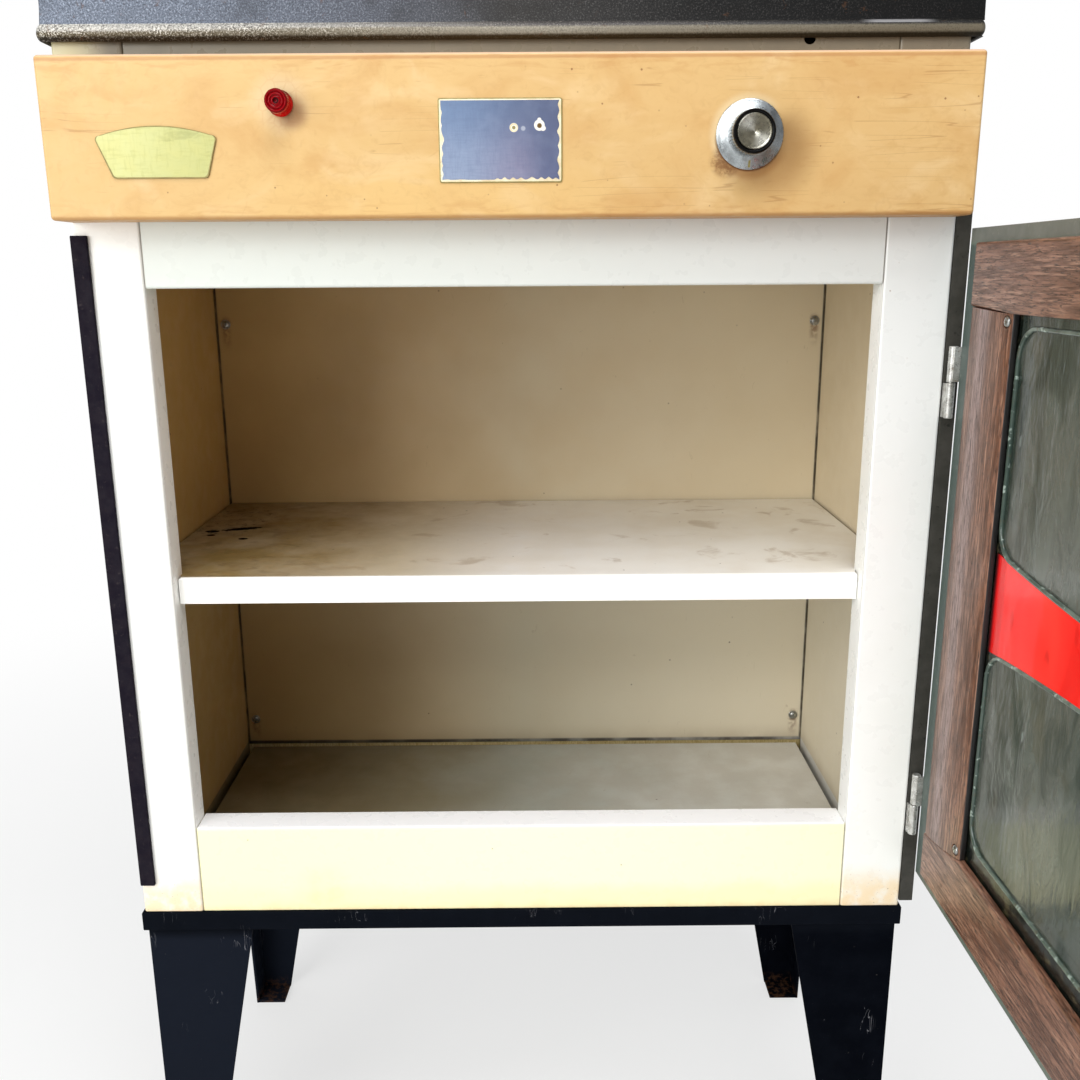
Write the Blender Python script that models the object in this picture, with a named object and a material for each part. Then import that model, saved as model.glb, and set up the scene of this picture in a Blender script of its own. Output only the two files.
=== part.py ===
"""Bench incubator: a heated two-level chamber on a black base frame with four
tapered sheet legs, a control panel over the door, a lift-off cover with a
rolled lower edge on top and a glazed, wood-lined door on lift-off hinges.

Units are metres and +Z is up.  Design coordinates have X = 0 at the middle of
the cabinet, Y = 0 on the front plane of the cabinet (the back is towards +Y)
and Z = 0 on the floor.  The door stands at right angles to the front, its rest
position.  The empty called incubator_origin moves the whole assembly so that
the frame's origin is the middle of the bottom of the overall box.
"""

import math

import bmesh
import bpy
from mathutils import Matrix, Vector

MM = 0.001
GAP = 0.3 * MM                  # clearance between neighbouring pieces
OVERSHOOT = 5 * MM              # how far most cutters start or end outside the metal
SHEET = 1.5 * MM                # cabinet sheet
SIDES = (("left", -1), ("right", 1))

# ------------------------------------------------------------ cabinet
BODY_HALF_W = 300 * MM
BODY_DEPTH = 300 * MM
BASE_Z0, BASE_Z1 = 274.4 * MM, 290.0 * MM
BASE_PROUD = 2.0 * MM           # the base frame stands this far outside the body
BASE_SHEET = 3 * MM
BASE_MID_Y = BODY_DEPTH / 2
BASE_HALF_W = BODY_HALF_W + BASE_PROUD
BASE_HALF_DEPTH = BODY_DEPTH / 2 + BASE_PROUD
BODY_Z0 = BASE_Z1 + GAP
BODY_Z1 = 960.3 * MM
OPENING_HALF_W = 253.2 * MM
CROSS_HALF_W = OPENING_HALF_W - GAP             # the header and rail between the stiles
HEADER_Z0 = 772.2 * MM
RAIL_Z1 = 362.5 * MM
RAIL_LEDGE = 27 * MM
STILE_DEPTH = 22 * MM
SKIN_IN_X = BODY_HALF_W - SHEET - GAP           # room inside the side panels
SKIN_IN_Y = BODY_DEPTH - 2 * SHEET - 2 * GAP    # room inside the back

# ------------------------------------------------------------ chamber
LINER_HALF_W = 288 * MM
LINER_FRONT_Y = STILE_DEPTH + 2 * GAP
LINER_BACK_Y = 279.3 * MM
CEILING_Z = 792 * MM
FLOOR_Z = 304 * MM
PLENUM_Z = BODY_Z0 + SHEET      # top of the carcass bottom
SHELF_Z = 563 * MM
SHELF_BACK_Y = LINER_BACK_Y - GAP - 0.7 * MM
SHELF_LIP_CUT = 12 * MM         # depth left to the shelf's edges where they rest on the runners
LINER_SCREW_X = 279 * MM
LINER_SCREWS = [
    (f"{level}_{hand}", side * LINER_SCREW_X, z)
    for hand, side in SIDES
    for level, z in (("lower", 333 * MM), ("upper", 735 * MM))
]

# ------------------------------------------------------------ control panel and cord
PANEL_FRONT_Y = -29.5 * MM
PANEL_Z0, PANEL_Z1 = 816 * MM, 916 * MM
PANEL_FACE_Y = PANEL_FRONT_Y - GAP              # back of what is mounted on the panel
LAMP_X, LAMP_Z = -147 * MM, 887 * MM
KNOB_X, KNOB_Z = 151.6 * MM, 866 * MM
KNOB_CENTRE = Vector((KNOB_X, PANEL_FRONT_Y, KNOB_Z))
SHAFT_BORE_R = 3.2 * MM
CORD_X, CORD_Z = -210 * MM, 480 * MM            # where the mains cord leaves the back
CORD_BACK_Y = 331 * MM

# ------------------------------------------------------------ top cover
COVER_Z0, COVER_Z1 = 927.8 * MM, 962 * MM
COVER_BEAD_Z1 = 938.3 * MM
COVER_HALF_W = 307.0 * MM       # over the bead
COVER_BEAD = 2.4 * MM           # the bead stands this far outside the wall
COVER_SHEET = 1.4 * MM
COVER_Y0, COVER_Y1 = -7.0 * MM, 307.0 * MM

# ------------------------------------------------------------ door (at rest, open)
HINGE_X, HINGE_Y = 304 * MM, -4 * MM
HINGE_ANGLE_X = BODY_HALF_W + GAP
HINGE_H = 50 * MM
DOOR_X0, DOOR_X1 = 307.5 * MM, 329.5 * MM       # inner and outer face
DOOR_Y0, DOOR_Y1 = -9 * MM, -607 * MM           # hinge edge and latch edge
DOOR_Z0, DOOR_Z1 = 326 * MM, 808.3 * MM
WOOD_BORDER = 22 * MM
WOOD_STILE_W = 63.6 * MM
WOOD_Y0, WOOD_Y1 = DOOR_Y0 - WOOD_BORDER, DOOR_Y1 + WOOD_BORDER
WOOD_Z0, WOOD_Z1 = 337 * MM, 798.7 * MM
WOOD_BACK_X = DOOR_X0 - GAP
PANE_Y0, PANE_Y1 = WOOD_Y0 - WOOD_STILE_W, WOOD_Y1 + WOOD_STILE_W
PANE_Z0, PANE_Z1 = 386.2 * MM, 755.4 * MM       # clear opening in the wood
GLASS_X0, GLASS_X1 = DOOR_X0 + 1.0 * MM, DOOR_X0 + 5.0 * MM
GLASS_LAP = 3.5 * MM            # how far its seat reaches past the window on each side
BUTT_DROP_LOW, BUTT_RISE_HIGH = 14 * MM, 2.5 * MM   # slope of the joints in the wood
PULL_OUT, PULL_R = 19.5 * MM, 4.5 * MM          # bar's centre line from the door, bar radius

# ------------------------------------------------------------ overall box
X_MIN, X_MAX = -COVER_HALF_W, DOOR_X1 + PULL_OUT + PULL_R
Y_MIN, Y_MAX = DOOR_Y1, CORD_BACK_Y
ORIGIN = Vector((-(X_MIN + X_MAX) / 2, -(Y_MIN + Y_MAX) / 2, 0))

for old in list(bpy.data.objects):
    bpy.data.objects.remove(old, do_unlink=True)

scene_root = bpy.context.scene.collection
helpers = bpy.data.collections.new("helpers")
scene_root.children.link(helpers)


def pivot(name, location, parent=None):
    """An empty on a joint's axis; the pieces that turn with it are its children."""
    empty = bpy.data.objects.new(name, None)
    empty.parent = parent
    empty.location = location
    scene_root.objects.link(empty)
    return empty


origin = pivot("incubator_origin", ORIGIN)
door_pivot = pivot("door_pivot", Vector((HINGE_X, HINGE_Y, 0)), origin)
knob_pivot = pivot("knob_pivot", KNOB_CENTRE, origin)


# ------------------------------------------------------------ materials
def linear(channel):
    """An 8-bit sRGB channel as a linear value."""
    share = channel / 255
    return share / 12.92 if share <= 0.04045 else ((share + 0.055) / 1.055) ** 2.4


def paint(name, rgb, roughness, metallic=0.0, transmission=0.0):
    made = bpy.data.materials.new(name)
    made.use_nodes = True
    inputs = made.node_tree.nodes["Principled BSDF"].inputs
    inputs["Base Color"].default_value = (*[linear(channel) for channel in rgb], 1)
    inputs["Roughness"].default_value = roughness
    inputs["Metallic"].default_value = metallic
    inputs["Transmission Weight"].default_value = transmission
    return made


BLACK = paint("black_enamel", rgb=(21, 25, 34), roughness=0.45)
WHITE = paint("ivory_enamel", rgb=(240, 237, 226), roughness=0.3)
LINER = paint("chamber_enamel", rgb=(196, 184, 154), roughness=0.4)
CREAM = paint("aged_cream_enamel", rgb=(250, 214, 150), roughness=0.35)
TINPLATE = paint("aged_tinplate", rgb=(120, 115, 104), roughness=0.35, metallic=1.0)
BADGE = paint("pale_brass_foil", rgb=(240, 238, 160), roughness=0.4, metallic=0.4)
PLATE = paint("blue_plate", rgb=(130, 142, 175), roughness=0.4, metallic=0.3)
RED = paint("red_lens_plastic", rgb=(190, 16, 22), roughness=0.12, transmission=0.4)
ALUMINIUM = paint("turned_aluminium", rgb=(198, 200, 198), roughness=0.3, metallic=1.0)
BAKELITE = paint("black_bakelite", rgb=(20, 20, 20), roughness=0.3)
STEEL = paint("zinc_plated_steel", rgb=(170, 172, 172), roughness=0.35, metallic=1.0)
WALNUT = paint("walnut", rgb=(134, 100, 84), roughness=0.45)
DOOR_ENAMEL = paint("grey_green_enamel", rgb=(96, 108, 98), roughness=0.4)
GLASS = paint("wavy_glass", rgb=(110, 120, 110), roughness=0.12, transmission=0.6)
RUBBER = paint("dark_seal_rubber", rgb=(58, 54, 60), roughness=0.7)
WOOL = paint("mineral_wool", rgb=(200, 180, 120), roughness=0.95)
MICA = paint("mica_heater", rgb=(150, 140, 120), roughness=0.6)
COPPER = paint("copper", rgb=(184, 115, 72), roughness=0.35, metallic=1.0)
FLEX = paint("black_flex", rgb=(26, 26, 26), roughness=0.6)


# ------------------------------------------------------------ positions
def mm_vector(*values):
    return Vector([value * MM for value in values])


def mm_pairs(*pairs):
    return [(first * MM, second * MM) for first, second in pairs]


def about(centre, reach):
    """The span that reaches equally far to both sides of a centre."""
    return (centre - reach, centre + reach)


def side_span(side, first, second):
    """The span in X between two distances out from the middle, on one side."""
    return sorted((side * first, side * second))


def on_side(side, outline):
    return [(side * x, other) for x, other in outline]


# ------------------------------------------------------------ meshes
def finish(shape):
    bmesh.ops.recalc_face_normals(shape, faces=shape.faces)
    mesh = bpy.data.meshes.new("piece")
    shape.to_mesh(mesh)
    shape.free()
    return mesh


def upright(start, end):
    return abs(start.z - end.z) > MM


def level(start, end):
    return not upright(start, end)


def box_mesh(x_span, y_span, z_span, bevel=0.0, rounded=None, segments=2):
    """A block.  rounded picks, from an edge's two ends, the edges to round."""
    shape = bmesh.new()
    bmesh.ops.create_cube(shape, size=1)
    spans = (x_span, y_span, z_span)
    for vert in shape.verts:
        vert.co = Vector([span[0] if part < 0 else span[1] for part, span in zip(vert.co, spans)])
    if bevel:
        chosen = [edge for edge in shape.edges if rounded(edge.verts[0].co, edge.verts[1].co)]
        bmesh.ops.bevel(
            shape, geom=chosen, offset=bevel, segments=segments, profile=0.5, affect="EDGES"
        )
    return finish(shape)


def prism_mesh(outline, axis, low, high):
    """A flat outline, given in the other two axes in order, pushed along an axis."""
    along = "XYZ".index(axis)

    def point_at(pair, distance):
        return (*pair[:along], distance, *pair[along:])

    shape = bmesh.new()
    base = shape.faces.new([shape.verts.new(point_at(pair, low)) for pair in outline])
    pushed = bmesh.ops.extrude_face_region(shape, geom=[base])
    verts = [item for item in pushed["geom"] if isinstance(item, bmesh.types.BMVert)]
    bmesh.ops.translate(shape, verts=verts, vec=Vector(point_at((0, 0), high - low)))
    return finish(shape)


TURNS = {
    "Z": Matrix.Identity(4),
    "-Y": Matrix.Rotation(math.pi / 2, 4, "X"),
    "Y": Matrix.Rotation(-math.pi / 2, 4, "X"),
    "X": Matrix.Rotation(math.pi / 2, 4, "Y"),
}


def turned_mesh(profile, centre, axis, steps=24):
    """(radius, height) pairs, from radius 0 to radius 0, spun about an axis through centre."""
    shape = bmesh.new()
    verts = [shape.verts.new((radius, 0, height)) for radius, height in profile]
    edges = [shape.edges.new(pair) for pair in zip(verts, verts[1:])]
    bmesh.ops.spin(
        shape, geom=verts + edges, cent=(0, 0, 0), axis=(0, 0, 1),
        angle=2 * math.pi, steps=steps, use_merge=True,
    )
    bmesh.ops.remove_doubles(shape, verts=shape.verts, dist=1e-6)
    matrix = Matrix.Translation(centre) @ TURNS[axis]
    bmesh.ops.transform(shape, matrix=matrix, verts=shape.verts)
    return finish(shape)


def rod_mesh(centre, radius, axis, length, steps=16):
    """A cylinder that starts at centre and runs along the axis."""
    profile = [(0, 0), (radius, 0), (radius, length), (0, length)]
    return turned_mesh(profile, centre, axis, steps)


def bridge(shape, first, second):
    """Quads between two rings with the same number of points."""
    for k in range(len(first)):
        n = (k + 1) % len(first)
        shape.faces.new((first[k], first[n], second[n], second[k]))


def loft_mesh(rings, split_faces=False):
    """A solid through rings of points, with flat ends."""
    shape = bmesh.new()
    loops = [[shape.verts.new(point) for point in ring] for ring in rings]
    for first, second in zip(loops, loops[1:]):
        bridge(shape, first, second)
    shape.faces.new(loops[0][::-1])
    shape.faces.new(loops[-1])
    if split_faces:
        many_sided = [face for face in shape.faces if len(face.verts) > 4]
        bmesh.ops.triangulate(shape, faces=many_sided)
    return finish(shape)


def frame_mesh(section, corner_of):
    """A section carried round a rectangle with mitred corners.

    corner_of puts a section point at the corner given by two signs.
    """
    shape = bmesh.new()
    loops = [
        [shape.verts.new(corner_of(point, first_sign, second_sign)) for point in section]
        for first_sign, second_sign in ((-1, -1), (1, -1), (1, 1), (-1, 1))
    ]
    for i in range(4):
        bridge(shape, loops[i], loops[(i + 1) % 4])
    return finish(shape)


def tube_mesh(points, radius, sides=8):
    """A round bar or wire along a smooth path through the points."""
    rings = []
    side = None
    for i, point in enumerate(points):
        ahead = points[min(i + 1, len(points) - 1)] - points[max(i - 1, 0)]
        ahead.normalize()
        if side is None:
            side = ahead.orthogonal().normalized()
        side = (side - ahead * side.dot(ahead)).normalized()
        across = ahead.cross(side)
        angles = [2 * math.pi * k / sides for k in range(sides)]
        rings.append([
            point + radius * (math.cos(angle) * side + math.sin(angle) * across)
            for angle in angles
        ])
    return loft_mesh(rings)


def smooth_path(corners, steps):
    """A Catmull-Rom curve through the corners."""
    ends = [corners[0]] + list(corners) + [corners[-1]]
    path = []
    for before, start, end, after in zip(ends, ends[1:], ends[2:], ends[3:]):
        for k in range(steps):
            t = k / steps
            path.append(0.5 * (
                (2 * start)
                + (end - before) * t
                + (2 * before - 5 * start + 4 * end - after) * t * t
                + (3 * start - before - 3 * end + after) * t ** 3
            ))
    return path + [corners[-1]]


# ------------------------------------------------------------ objects
def place(name, mesh, material, parent=origin):
    """Puts a mesh drawn in design coordinates into the scene, with its parent's own origin."""
    mesh.name = name
    made = bpy.data.objects.new(name, mesh)
    mesh.materials.append(material)
    if parent is not origin:
        mesh.transform(Matrix.Translation(-parent.location))
    made.parent = parent
    scene_root.objects.link(made)
    return made


def boolean(target, name, mesh, operation):
    """Adds a boolean modifier that uses the mesh as a hidden helper."""
    mesh.name = name
    mesh.materials.append(BLACK)
    helper = bpy.data.objects.new(name, mesh)
    helper.hide_render = True
    helper.display_type = "WIRE"
    helper.parent = origin
    helpers.objects.link(helper)
    modifier = target.modifiers.new(operation.lower() + "_" + name, "BOOLEAN")
    modifier.operation = operation
    modifier.solver = "EXACT"
    modifier.object = helper


def cut(target, name, mesh):
    boolean(target, name, mesh, "DIFFERENCE")


def join(target, name, mesh):
    boolean(target, name, mesh, "UNION")


def smooth(made, degrees=35):
    made.data.shade_smooth()
    made.data.set_sharp_from_angle(angle=math.radians(degrees))


# ------------------------------------------------------------ base frame and legs
def build_base_frame():
    """An angle section with its upright wall outside and its flange on top."""
    flange = 25 * MM
    section = [
        (0, BASE_Z0), (BASE_SHEET, BASE_Z0), (BASE_SHEET, BASE_Z1 - BASE_SHEET),
        (flange, BASE_Z1 - BASE_SHEET), (flange, BASE_Z1), (0, BASE_Z1),
    ]

    def corner(point, x_sign, y_sign):
        inset, z = point
        return Vector((
            x_sign * (BASE_HALF_W - inset),
            BASE_MID_Y + y_sign * (BASE_HALF_DEPTH - inset),
            z,
        ))

    place("base_frame", frame_mesh(section, corner), BLACK)


def build_leg(name, side, y_sign):
    """One folded sheet, wide across the front or back and narrow along the side, with a foot."""
    sheet = 2.5 * MM
    foot_thick, foot_inset = 3 * MM, 0.5 * MM
    foot_w, foot_side_w = 31 * MM, 30 * MM
    top_w, top_side_w = 85.5 * MM, 52 * MM
    top_z = BASE_Z1 - BASE_SHEET - GAP
    # The leg stands inside the upright wall of the base frame.
    face_x = BASE_HALF_W - BASE_SHEET - GAP
    face_y = BASE_MID_Y + y_sign * (BASE_HALF_DEPTH - BASE_SHEET - GAP)

    rings = []
    for z, width, side_width in ((0.0, foot_w, foot_side_w), (top_z, top_w, top_side_w)):
        corner = Vector((side * face_x, face_y, z))
        outline = [
            (0, 0), (width, 0), (width, sheet), (sheet, sheet), (sheet, side_width),
            (0, side_width),
        ]
        rings.append([corner + Vector((-side * x, -y_sign * y, 0)) for x, y in outline])
    leg = place(name, loft_mesh(rings), BLACK)
    foot_y = (face_y - y_sign * foot_inset, face_y - y_sign * (foot_side_w - foot_inset))
    join(leg, "plate_" + name, box_mesh(
        side_span(side, face_x - foot_inset, face_x - foot_w + foot_inset),
        sorted(foot_y), (0, foot_thick),
    ))


def build_legs():
    for row, y_sign in (("front", -1), ("rear", 1)):
        for hand, side in SIDES:
            build_leg(f"leg_{row}_{hand}", side, y_sign)


# ------------------------------------------------------------ front of the cabinet
def build_stiles():
    """Upright channels, open to the back, beside the opening."""
    inner, outer = OPENING_HALF_W, BODY_HALF_W
    channel = [
        (inner, 0), (outer, 0), (outer, STILE_DEPTH), (outer - SHEET, STILE_DEPTH),
        (outer - SHEET, SHEET), (inner + SHEET, SHEET), (inner + SHEET, STILE_DEPTH),
        (inner, STILE_DEPTH),
    ]
    for hand, side in SIDES:
        mesh = prism_mesh(on_side(side, channel), "Z", BODY_Z0, BODY_Z1)
        place(f"{hand}_stile", mesh, WHITE)


def build_header():
    """The channel over the opening, open to the back, with three holes."""
    flange = 20 * MM
    channel = [
        (0, HEADER_Z0), (flange, HEADER_Z0), (flange, HEADER_Z0 + SHEET),
        (SHEET, HEADER_Z0 + SHEET), (SHEET, BODY_Z1 - SHEET), (flange, BODY_Z1 - SHEET),
        (flange, BODY_Z1), (0, BODY_Z1),
    ]
    header = place("header_board", prism_mesh(channel, "X", *about(0, CROSS_HALF_W)), WHITE)
    # Name, x, z and radius in mm.  The bead of the cover half hides the vent.
    holes = (("capillary", 185, 880, 4), ("loom", 240, 880, 5), ("vent", 194.3, 928.3, 3.9))
    for name, x, z, radius in holes:
        start = Vector((x * MM, -OVERSHOOT, z * MM))
        cut(header, f"cut_header_{name}", rod_mesh(start, radius * MM, "Y", 12 * MM))


def build_bottom_rail():
    front = 0.5 * MM
    lip_z = FLOOR_Z + 1 * MM
    section = [
        (front, BODY_Z0), (front + SHEET, BODY_Z0), (front + SHEET, RAIL_Z1 - SHEET),
        (RAIL_LEDGE - SHEET, RAIL_Z1 - SHEET), (RAIL_LEDGE - SHEET, lip_z),
        (RAIL_LEDGE, lip_z), (RAIL_LEDGE, RAIL_Z1), (front, RAIL_Z1),
    ]
    place("bottom_rail", prism_mesh(section, "X", *about(0, CROSS_HALF_W)), WHITE)


# ------------------------------------------------------------ outer skin
def build_side_panels():
    """Flat sheets with a flange turned inwards at the back."""
    flange = 15 * MM
    front, rear = STILE_DEPTH + GAP, BODY_DEPTH - SHEET - GAP
    outline = [
        (BODY_HALF_W, front), (BODY_HALF_W, rear), (BODY_HALF_W - flange, rear),
        (BODY_HALF_W - flange, rear - SHEET), (BODY_HALF_W - SHEET, rear - SHEET),
        (BODY_HALF_W - SHEET, front),
    ]
    for hand, side in SIDES:
        mesh = prism_mesh(on_side(side, outline), "Z", BODY_Z0, BODY_Z1)
        place(f"{hand}_side_panel", mesh, WHITE)


def build_back_panel():
    back = place("back_panel", box_mesh(
        about(0, BODY_HALF_W), (BODY_DEPTH - SHEET, BODY_DEPTH), (BODY_Z0, BODY_Z1),
    ), WHITE)
    start = Vector((CORD_X, BODY_DEPTH - 10 * MM, CORD_Z))
    cut(back, "cut_back_cord", rod_mesh(start, 6 * MM, "Y", 20 * MM))


def build_carcass():
    levels = (
        ("carcass_bottom", (BODY_Z0, BODY_Z0 + SHEET)),
        ("carcass_top", (BODY_Z1 - SHEET, BODY_Z1)),
    )
    for name, z_span in levels:
        place(name, box_mesh(about(0, SKIN_IN_X), (LINER_FRONT_Y, SKIN_IN_Y), z_span), LINER)


# ------------------------------------------------------------ chamber lining
def build_liner_walls():
    """Side walls with a flange turned inwards behind the stiles."""
    inner, outer = LINER_HALF_W, LINER_HALF_W + SHEET
    flange_x = OPENING_HALF_W + 3 * MM
    front, rear = LINER_FRONT_Y, LINER_BACK_Y - GAP
    outline = [
        (inner, rear), (outer, rear), (outer, front), (flange_x, front),
        (flange_x, front + SHEET), (inner, front + SHEET),
    ]
    for hand, side in SIDES:
        mesh = prism_mesh(on_side(side, outline), "Z", PLENUM_Z + GAP, CEILING_Z - GAP)
        wall = place(f"liner_{hand}", mesh, LINER)
        if hand == "right":
            cut(wall, "cut_liner_loom", box_mesh(
                (264 * MM, 284 * MM), about(front, OVERSHOOT),
                (PLENUM_Z - OVERSHOOT, PLENUM_Z + 12 * MM),
            ))


def build_liner_back():
    """The back wall and the four screws through it."""
    back = place("liner_back", box_mesh(
        about(0, LINER_HALF_W), (LINER_BACK_Y, LINER_BACK_Y + SHEET),
        (FLOOR_Z + 1 * MM, CEILING_Z - GAP),
    ), LINER)
    # Radius and height of a screw, from the end of its shank to the top of its head.
    screw = mm_pairs(
        (0, 0), (2, 0), (2, 7.3), (4.5, 7.3), (4.2, 8.6), (2.8, 9.6), (0, 10.0),
    )
    for tag, x, z in LINER_SCREWS:
        name = f"liner_screw_{tag}"
        spot = Vector((x, LINER_BACK_Y + 7 * MM, z))
        hole = rod_mesh(spot + mm_vector(0, 5, 0), 2.3 * MM, "-Y", 20 * MM, 12)
        cut(back, "cut_" + name, hole)
        smooth(place(name, turned_mesh(screw, spot, "-Y", 14), STEEL))


def build_liner_top():
    top = place("liner_top", box_mesh(
        about(0, LINER_HALF_W + SHEET), (LINER_FRONT_Y, LINER_BACK_Y + SHEET),
        (CEILING_Z, CEILING_Z + SHEET),
    ), LINER)
    start = Vector((140 * MM, 70 * MM, CEILING_Z - OVERSHOOT))
    cut(top, "cut_ceiling_bulb", rod_mesh(start, 4 * MM, "Z", 12 * MM))


# ------------------------------------------------------------ chamber floor, heater and shelf
def build_floor():
    """A channel, open below, with a notch for the loom in its front wall."""
    front, rear = RAIL_LEDGE + 1.5 * MM, LINER_BACK_Y - 5 * MM
    foot = PLENUM_Z + GAP
    channel = [
        (front, foot), (front + SHEET, foot), (front + SHEET, FLOOR_Z - SHEET),
        (rear - SHEET, FLOOR_Z - SHEET), (rear - SHEET, foot), (rear, foot),
        (rear, FLOOR_Z), (front, FLOOR_Z),
    ]
    mesh = prism_mesh(channel, "X", *about(0, 282 * MM))
    floor = place("chamber_floor", mesh, LINER)
    cut(floor, "cut_floor_loom", box_mesh(
        (256 * MM, 290 * MM), about(front, 8 * MM),
        (PLENUM_Z - OVERSHOOT, PLENUM_Z + 8.2 * MM),
    ))


def build_heater():
    """A flat plate under the floor with a terminal lug at its right end."""
    heater = place("heater_plate", box_mesh(
        about(0, 190 * MM), (90 * MM, 210 * MM), (PLENUM_Z + GAP, PLENUM_Z + 7 * MM),
        bevel=1.5 * MM, rounded=upright,
    ), MICA)
    join(heater, "heater_lugs", box_mesh(
        (185 * MM, 204 * MM), (140 * MM, 160 * MM), (PLENUM_Z + GAP, PLENUM_Z + 4 * MM),
    ))


def build_shelf():
    """An upturned tray whose narrower nose stands between the stiles."""
    front, lip = 10 * MM, 20 * MM
    thickness = 1.2 * MM
    half_w, nose_half_w = LINER_HALF_W - 1 * MM, OPENING_HALF_W - 0.8 * MM
    shoulder = LINER_FRONT_Y + SHEET + 0.6 * MM
    outline = [
        (-nose_half_w, front), (nose_half_w, front), (nose_half_w, shoulder),
        (half_w, shoulder), (half_w, SHELF_BACK_Y), (-half_w, SHELF_BACK_Y),
        (-half_w, shoulder), (-nose_half_w, shoulder),
    ]
    shelf = place("shelf", prism_mesh(outline, "Z", SHELF_Z - lip, SHELF_Z), LINER)
    below = SHELF_Z - lip - OVERSHOOT
    hollow_z = (below, SHELF_Z - thickness)
    cut(shelf, "cut_shelf_under", box_mesh(
        about(0, half_w - thickness), (shoulder + thickness, SHELF_BACK_Y - thickness), hollow_z,
    ))
    cut(shelf, "cut_shelf_nose", box_mesh(
        about(0, nose_half_w - thickness), (front + thickness, shoulder + OVERSHOOT), hollow_z,
    ))
    for hand, side in SIDES:
        cut(shelf, f"cut_shelf_lip_{hand}", box_mesh(
            side_span(side, half_w + OVERSHOOT, nose_half_w + 0.5 * MM),
            (shoulder - OVERSHOOT, SHELF_BACK_Y + OVERSHOOT),
            (below, SHELF_Z - SHELF_LIP_CUT),
        ))


def build_shelf_runners():
    outer, top = LINER_HALF_W - GAP, SHELF_Z - SHELF_LIP_CUT - GAP
    width, drop = 14 * MM, 12 * MM
    angle = [
        (outer, top - drop), (outer, top), (outer - width, top),
        (outer - width, top - SHEET), (outer - SHEET, top - SHEET), (outer - SHEET, top - drop),
    ]
    for hand, side in SIDES:
        mesh = prism_mesh(on_side(side, angle), "Y", 30 * MM, SHELF_BACK_Y)
        place(f"shelf_runner_{hand}", mesh, LINER)


def build_insulation():
    """Wool between skin and lining, at the sides and the back."""
    outer, inner = SKIN_IN_X - GAP, LINER_HALF_W + SHEET + GAP
    front, inner_back = STILE_DEPTH + 5 * MM, LINER_BACK_Y + SHEET + GAP
    rear = SKIN_IN_Y - GAP
    outline = [
        (-outer, front), (-inner, front), (-inner, inner_back), (inner, inner_back),
        (inner, front), (outer, front), (outer, rear), (-outer, rear),
    ]
    mesh = prism_mesh(outline, "Z", PLENUM_Z + GAP, 948 * MM)
    wool = place("insulation_blanket", mesh, WOOL)
    for tag, x, z in LINER_SCREWS:
        start = Vector((x, LINER_BACK_Y - OVERSHOOT, z))
        cut(wool, f"cut_wool_{tag}", rod_mesh(start, 2.6 * MM, "Y", 14 * MM, 8))
    start = Vector((CORD_X, LINER_BACK_Y + 6 * MM, CORD_Z))
    cut(wool, "cut_wool_cord", rod_mesh(start, 9 * MM, "Y", 30 * MM, 12))


# ------------------------------------------------------------ top cover
def build_cover():
    """A shallow pan turned upside down, with a bead round its lower edge."""
    def pan_spans(inset):
        return about(0, COVER_HALF_W - inset), (COVER_Y0 + inset, COVER_Y1 - inset)

    def not_lower(start, end):
        return max(start.z, end.z) > COVER_Z0 + 10 * MM

    cover = place("top_cover", box_mesh(
        *pan_spans(0), (COVER_Z0, COVER_BEAD_Z1), bevel=2.3 * MM, rounded=level, segments=3,
    ), TINPLATE)
    join(cover, "cover_wall", box_mesh(
        *pan_spans(COVER_BEAD), (COVER_Z0 + 2 * MM, COVER_Z1), bevel=4 * MM, rounded=not_lower,
    ))
    cut(cover, "cut_cover", box_mesh(
        *pan_spans(COVER_BEAD + COVER_SHEET), (COVER_Z0 - 10 * MM, COVER_Z1 - COVER_SHEET),
        bevel=2.6 * MM, rounded=not_lower,
    ))
    smooth(cover)


# ------------------------------------------------------------ control panel
def build_panel():
    """A box open to the back, with holes for the lamp and the thermostat shaft."""
    def not_rear(start, end):
        return min(start.y, end.y) < -20 * MM

    panel = place("control_panel", box_mesh(
        about(0, BODY_HALF_W), (PANEL_FRONT_Y, -GAP), (PANEL_Z0, PANEL_Z1),
        bevel=2.5 * MM, rounded=not_rear, segments=3,
    ), CREAM)
    cut(panel, "cut_panel_inside", box_mesh(
        about(0, BODY_HALF_W - SHEET), (PANEL_FRONT_Y + SHEET, OVERSHOOT),
        (PANEL_Z0 + SHEET, PANEL_Z1 - SHEET),
    ))
    holes = (("lamp", LAMP_X, LAMP_Z, 5.6 * MM), ("shaft", KNOB_X, KNOB_Z, 4.5 * MM))
    for name, x, z, radius in holes:
        start = Vector((x, PANEL_FRONT_Y - OVERSHOOT, z))
        cut(panel, f"cut_panel_{name}", rod_mesh(start, radius, "Y", 12 * MM))
    smooth(panel)


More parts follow.
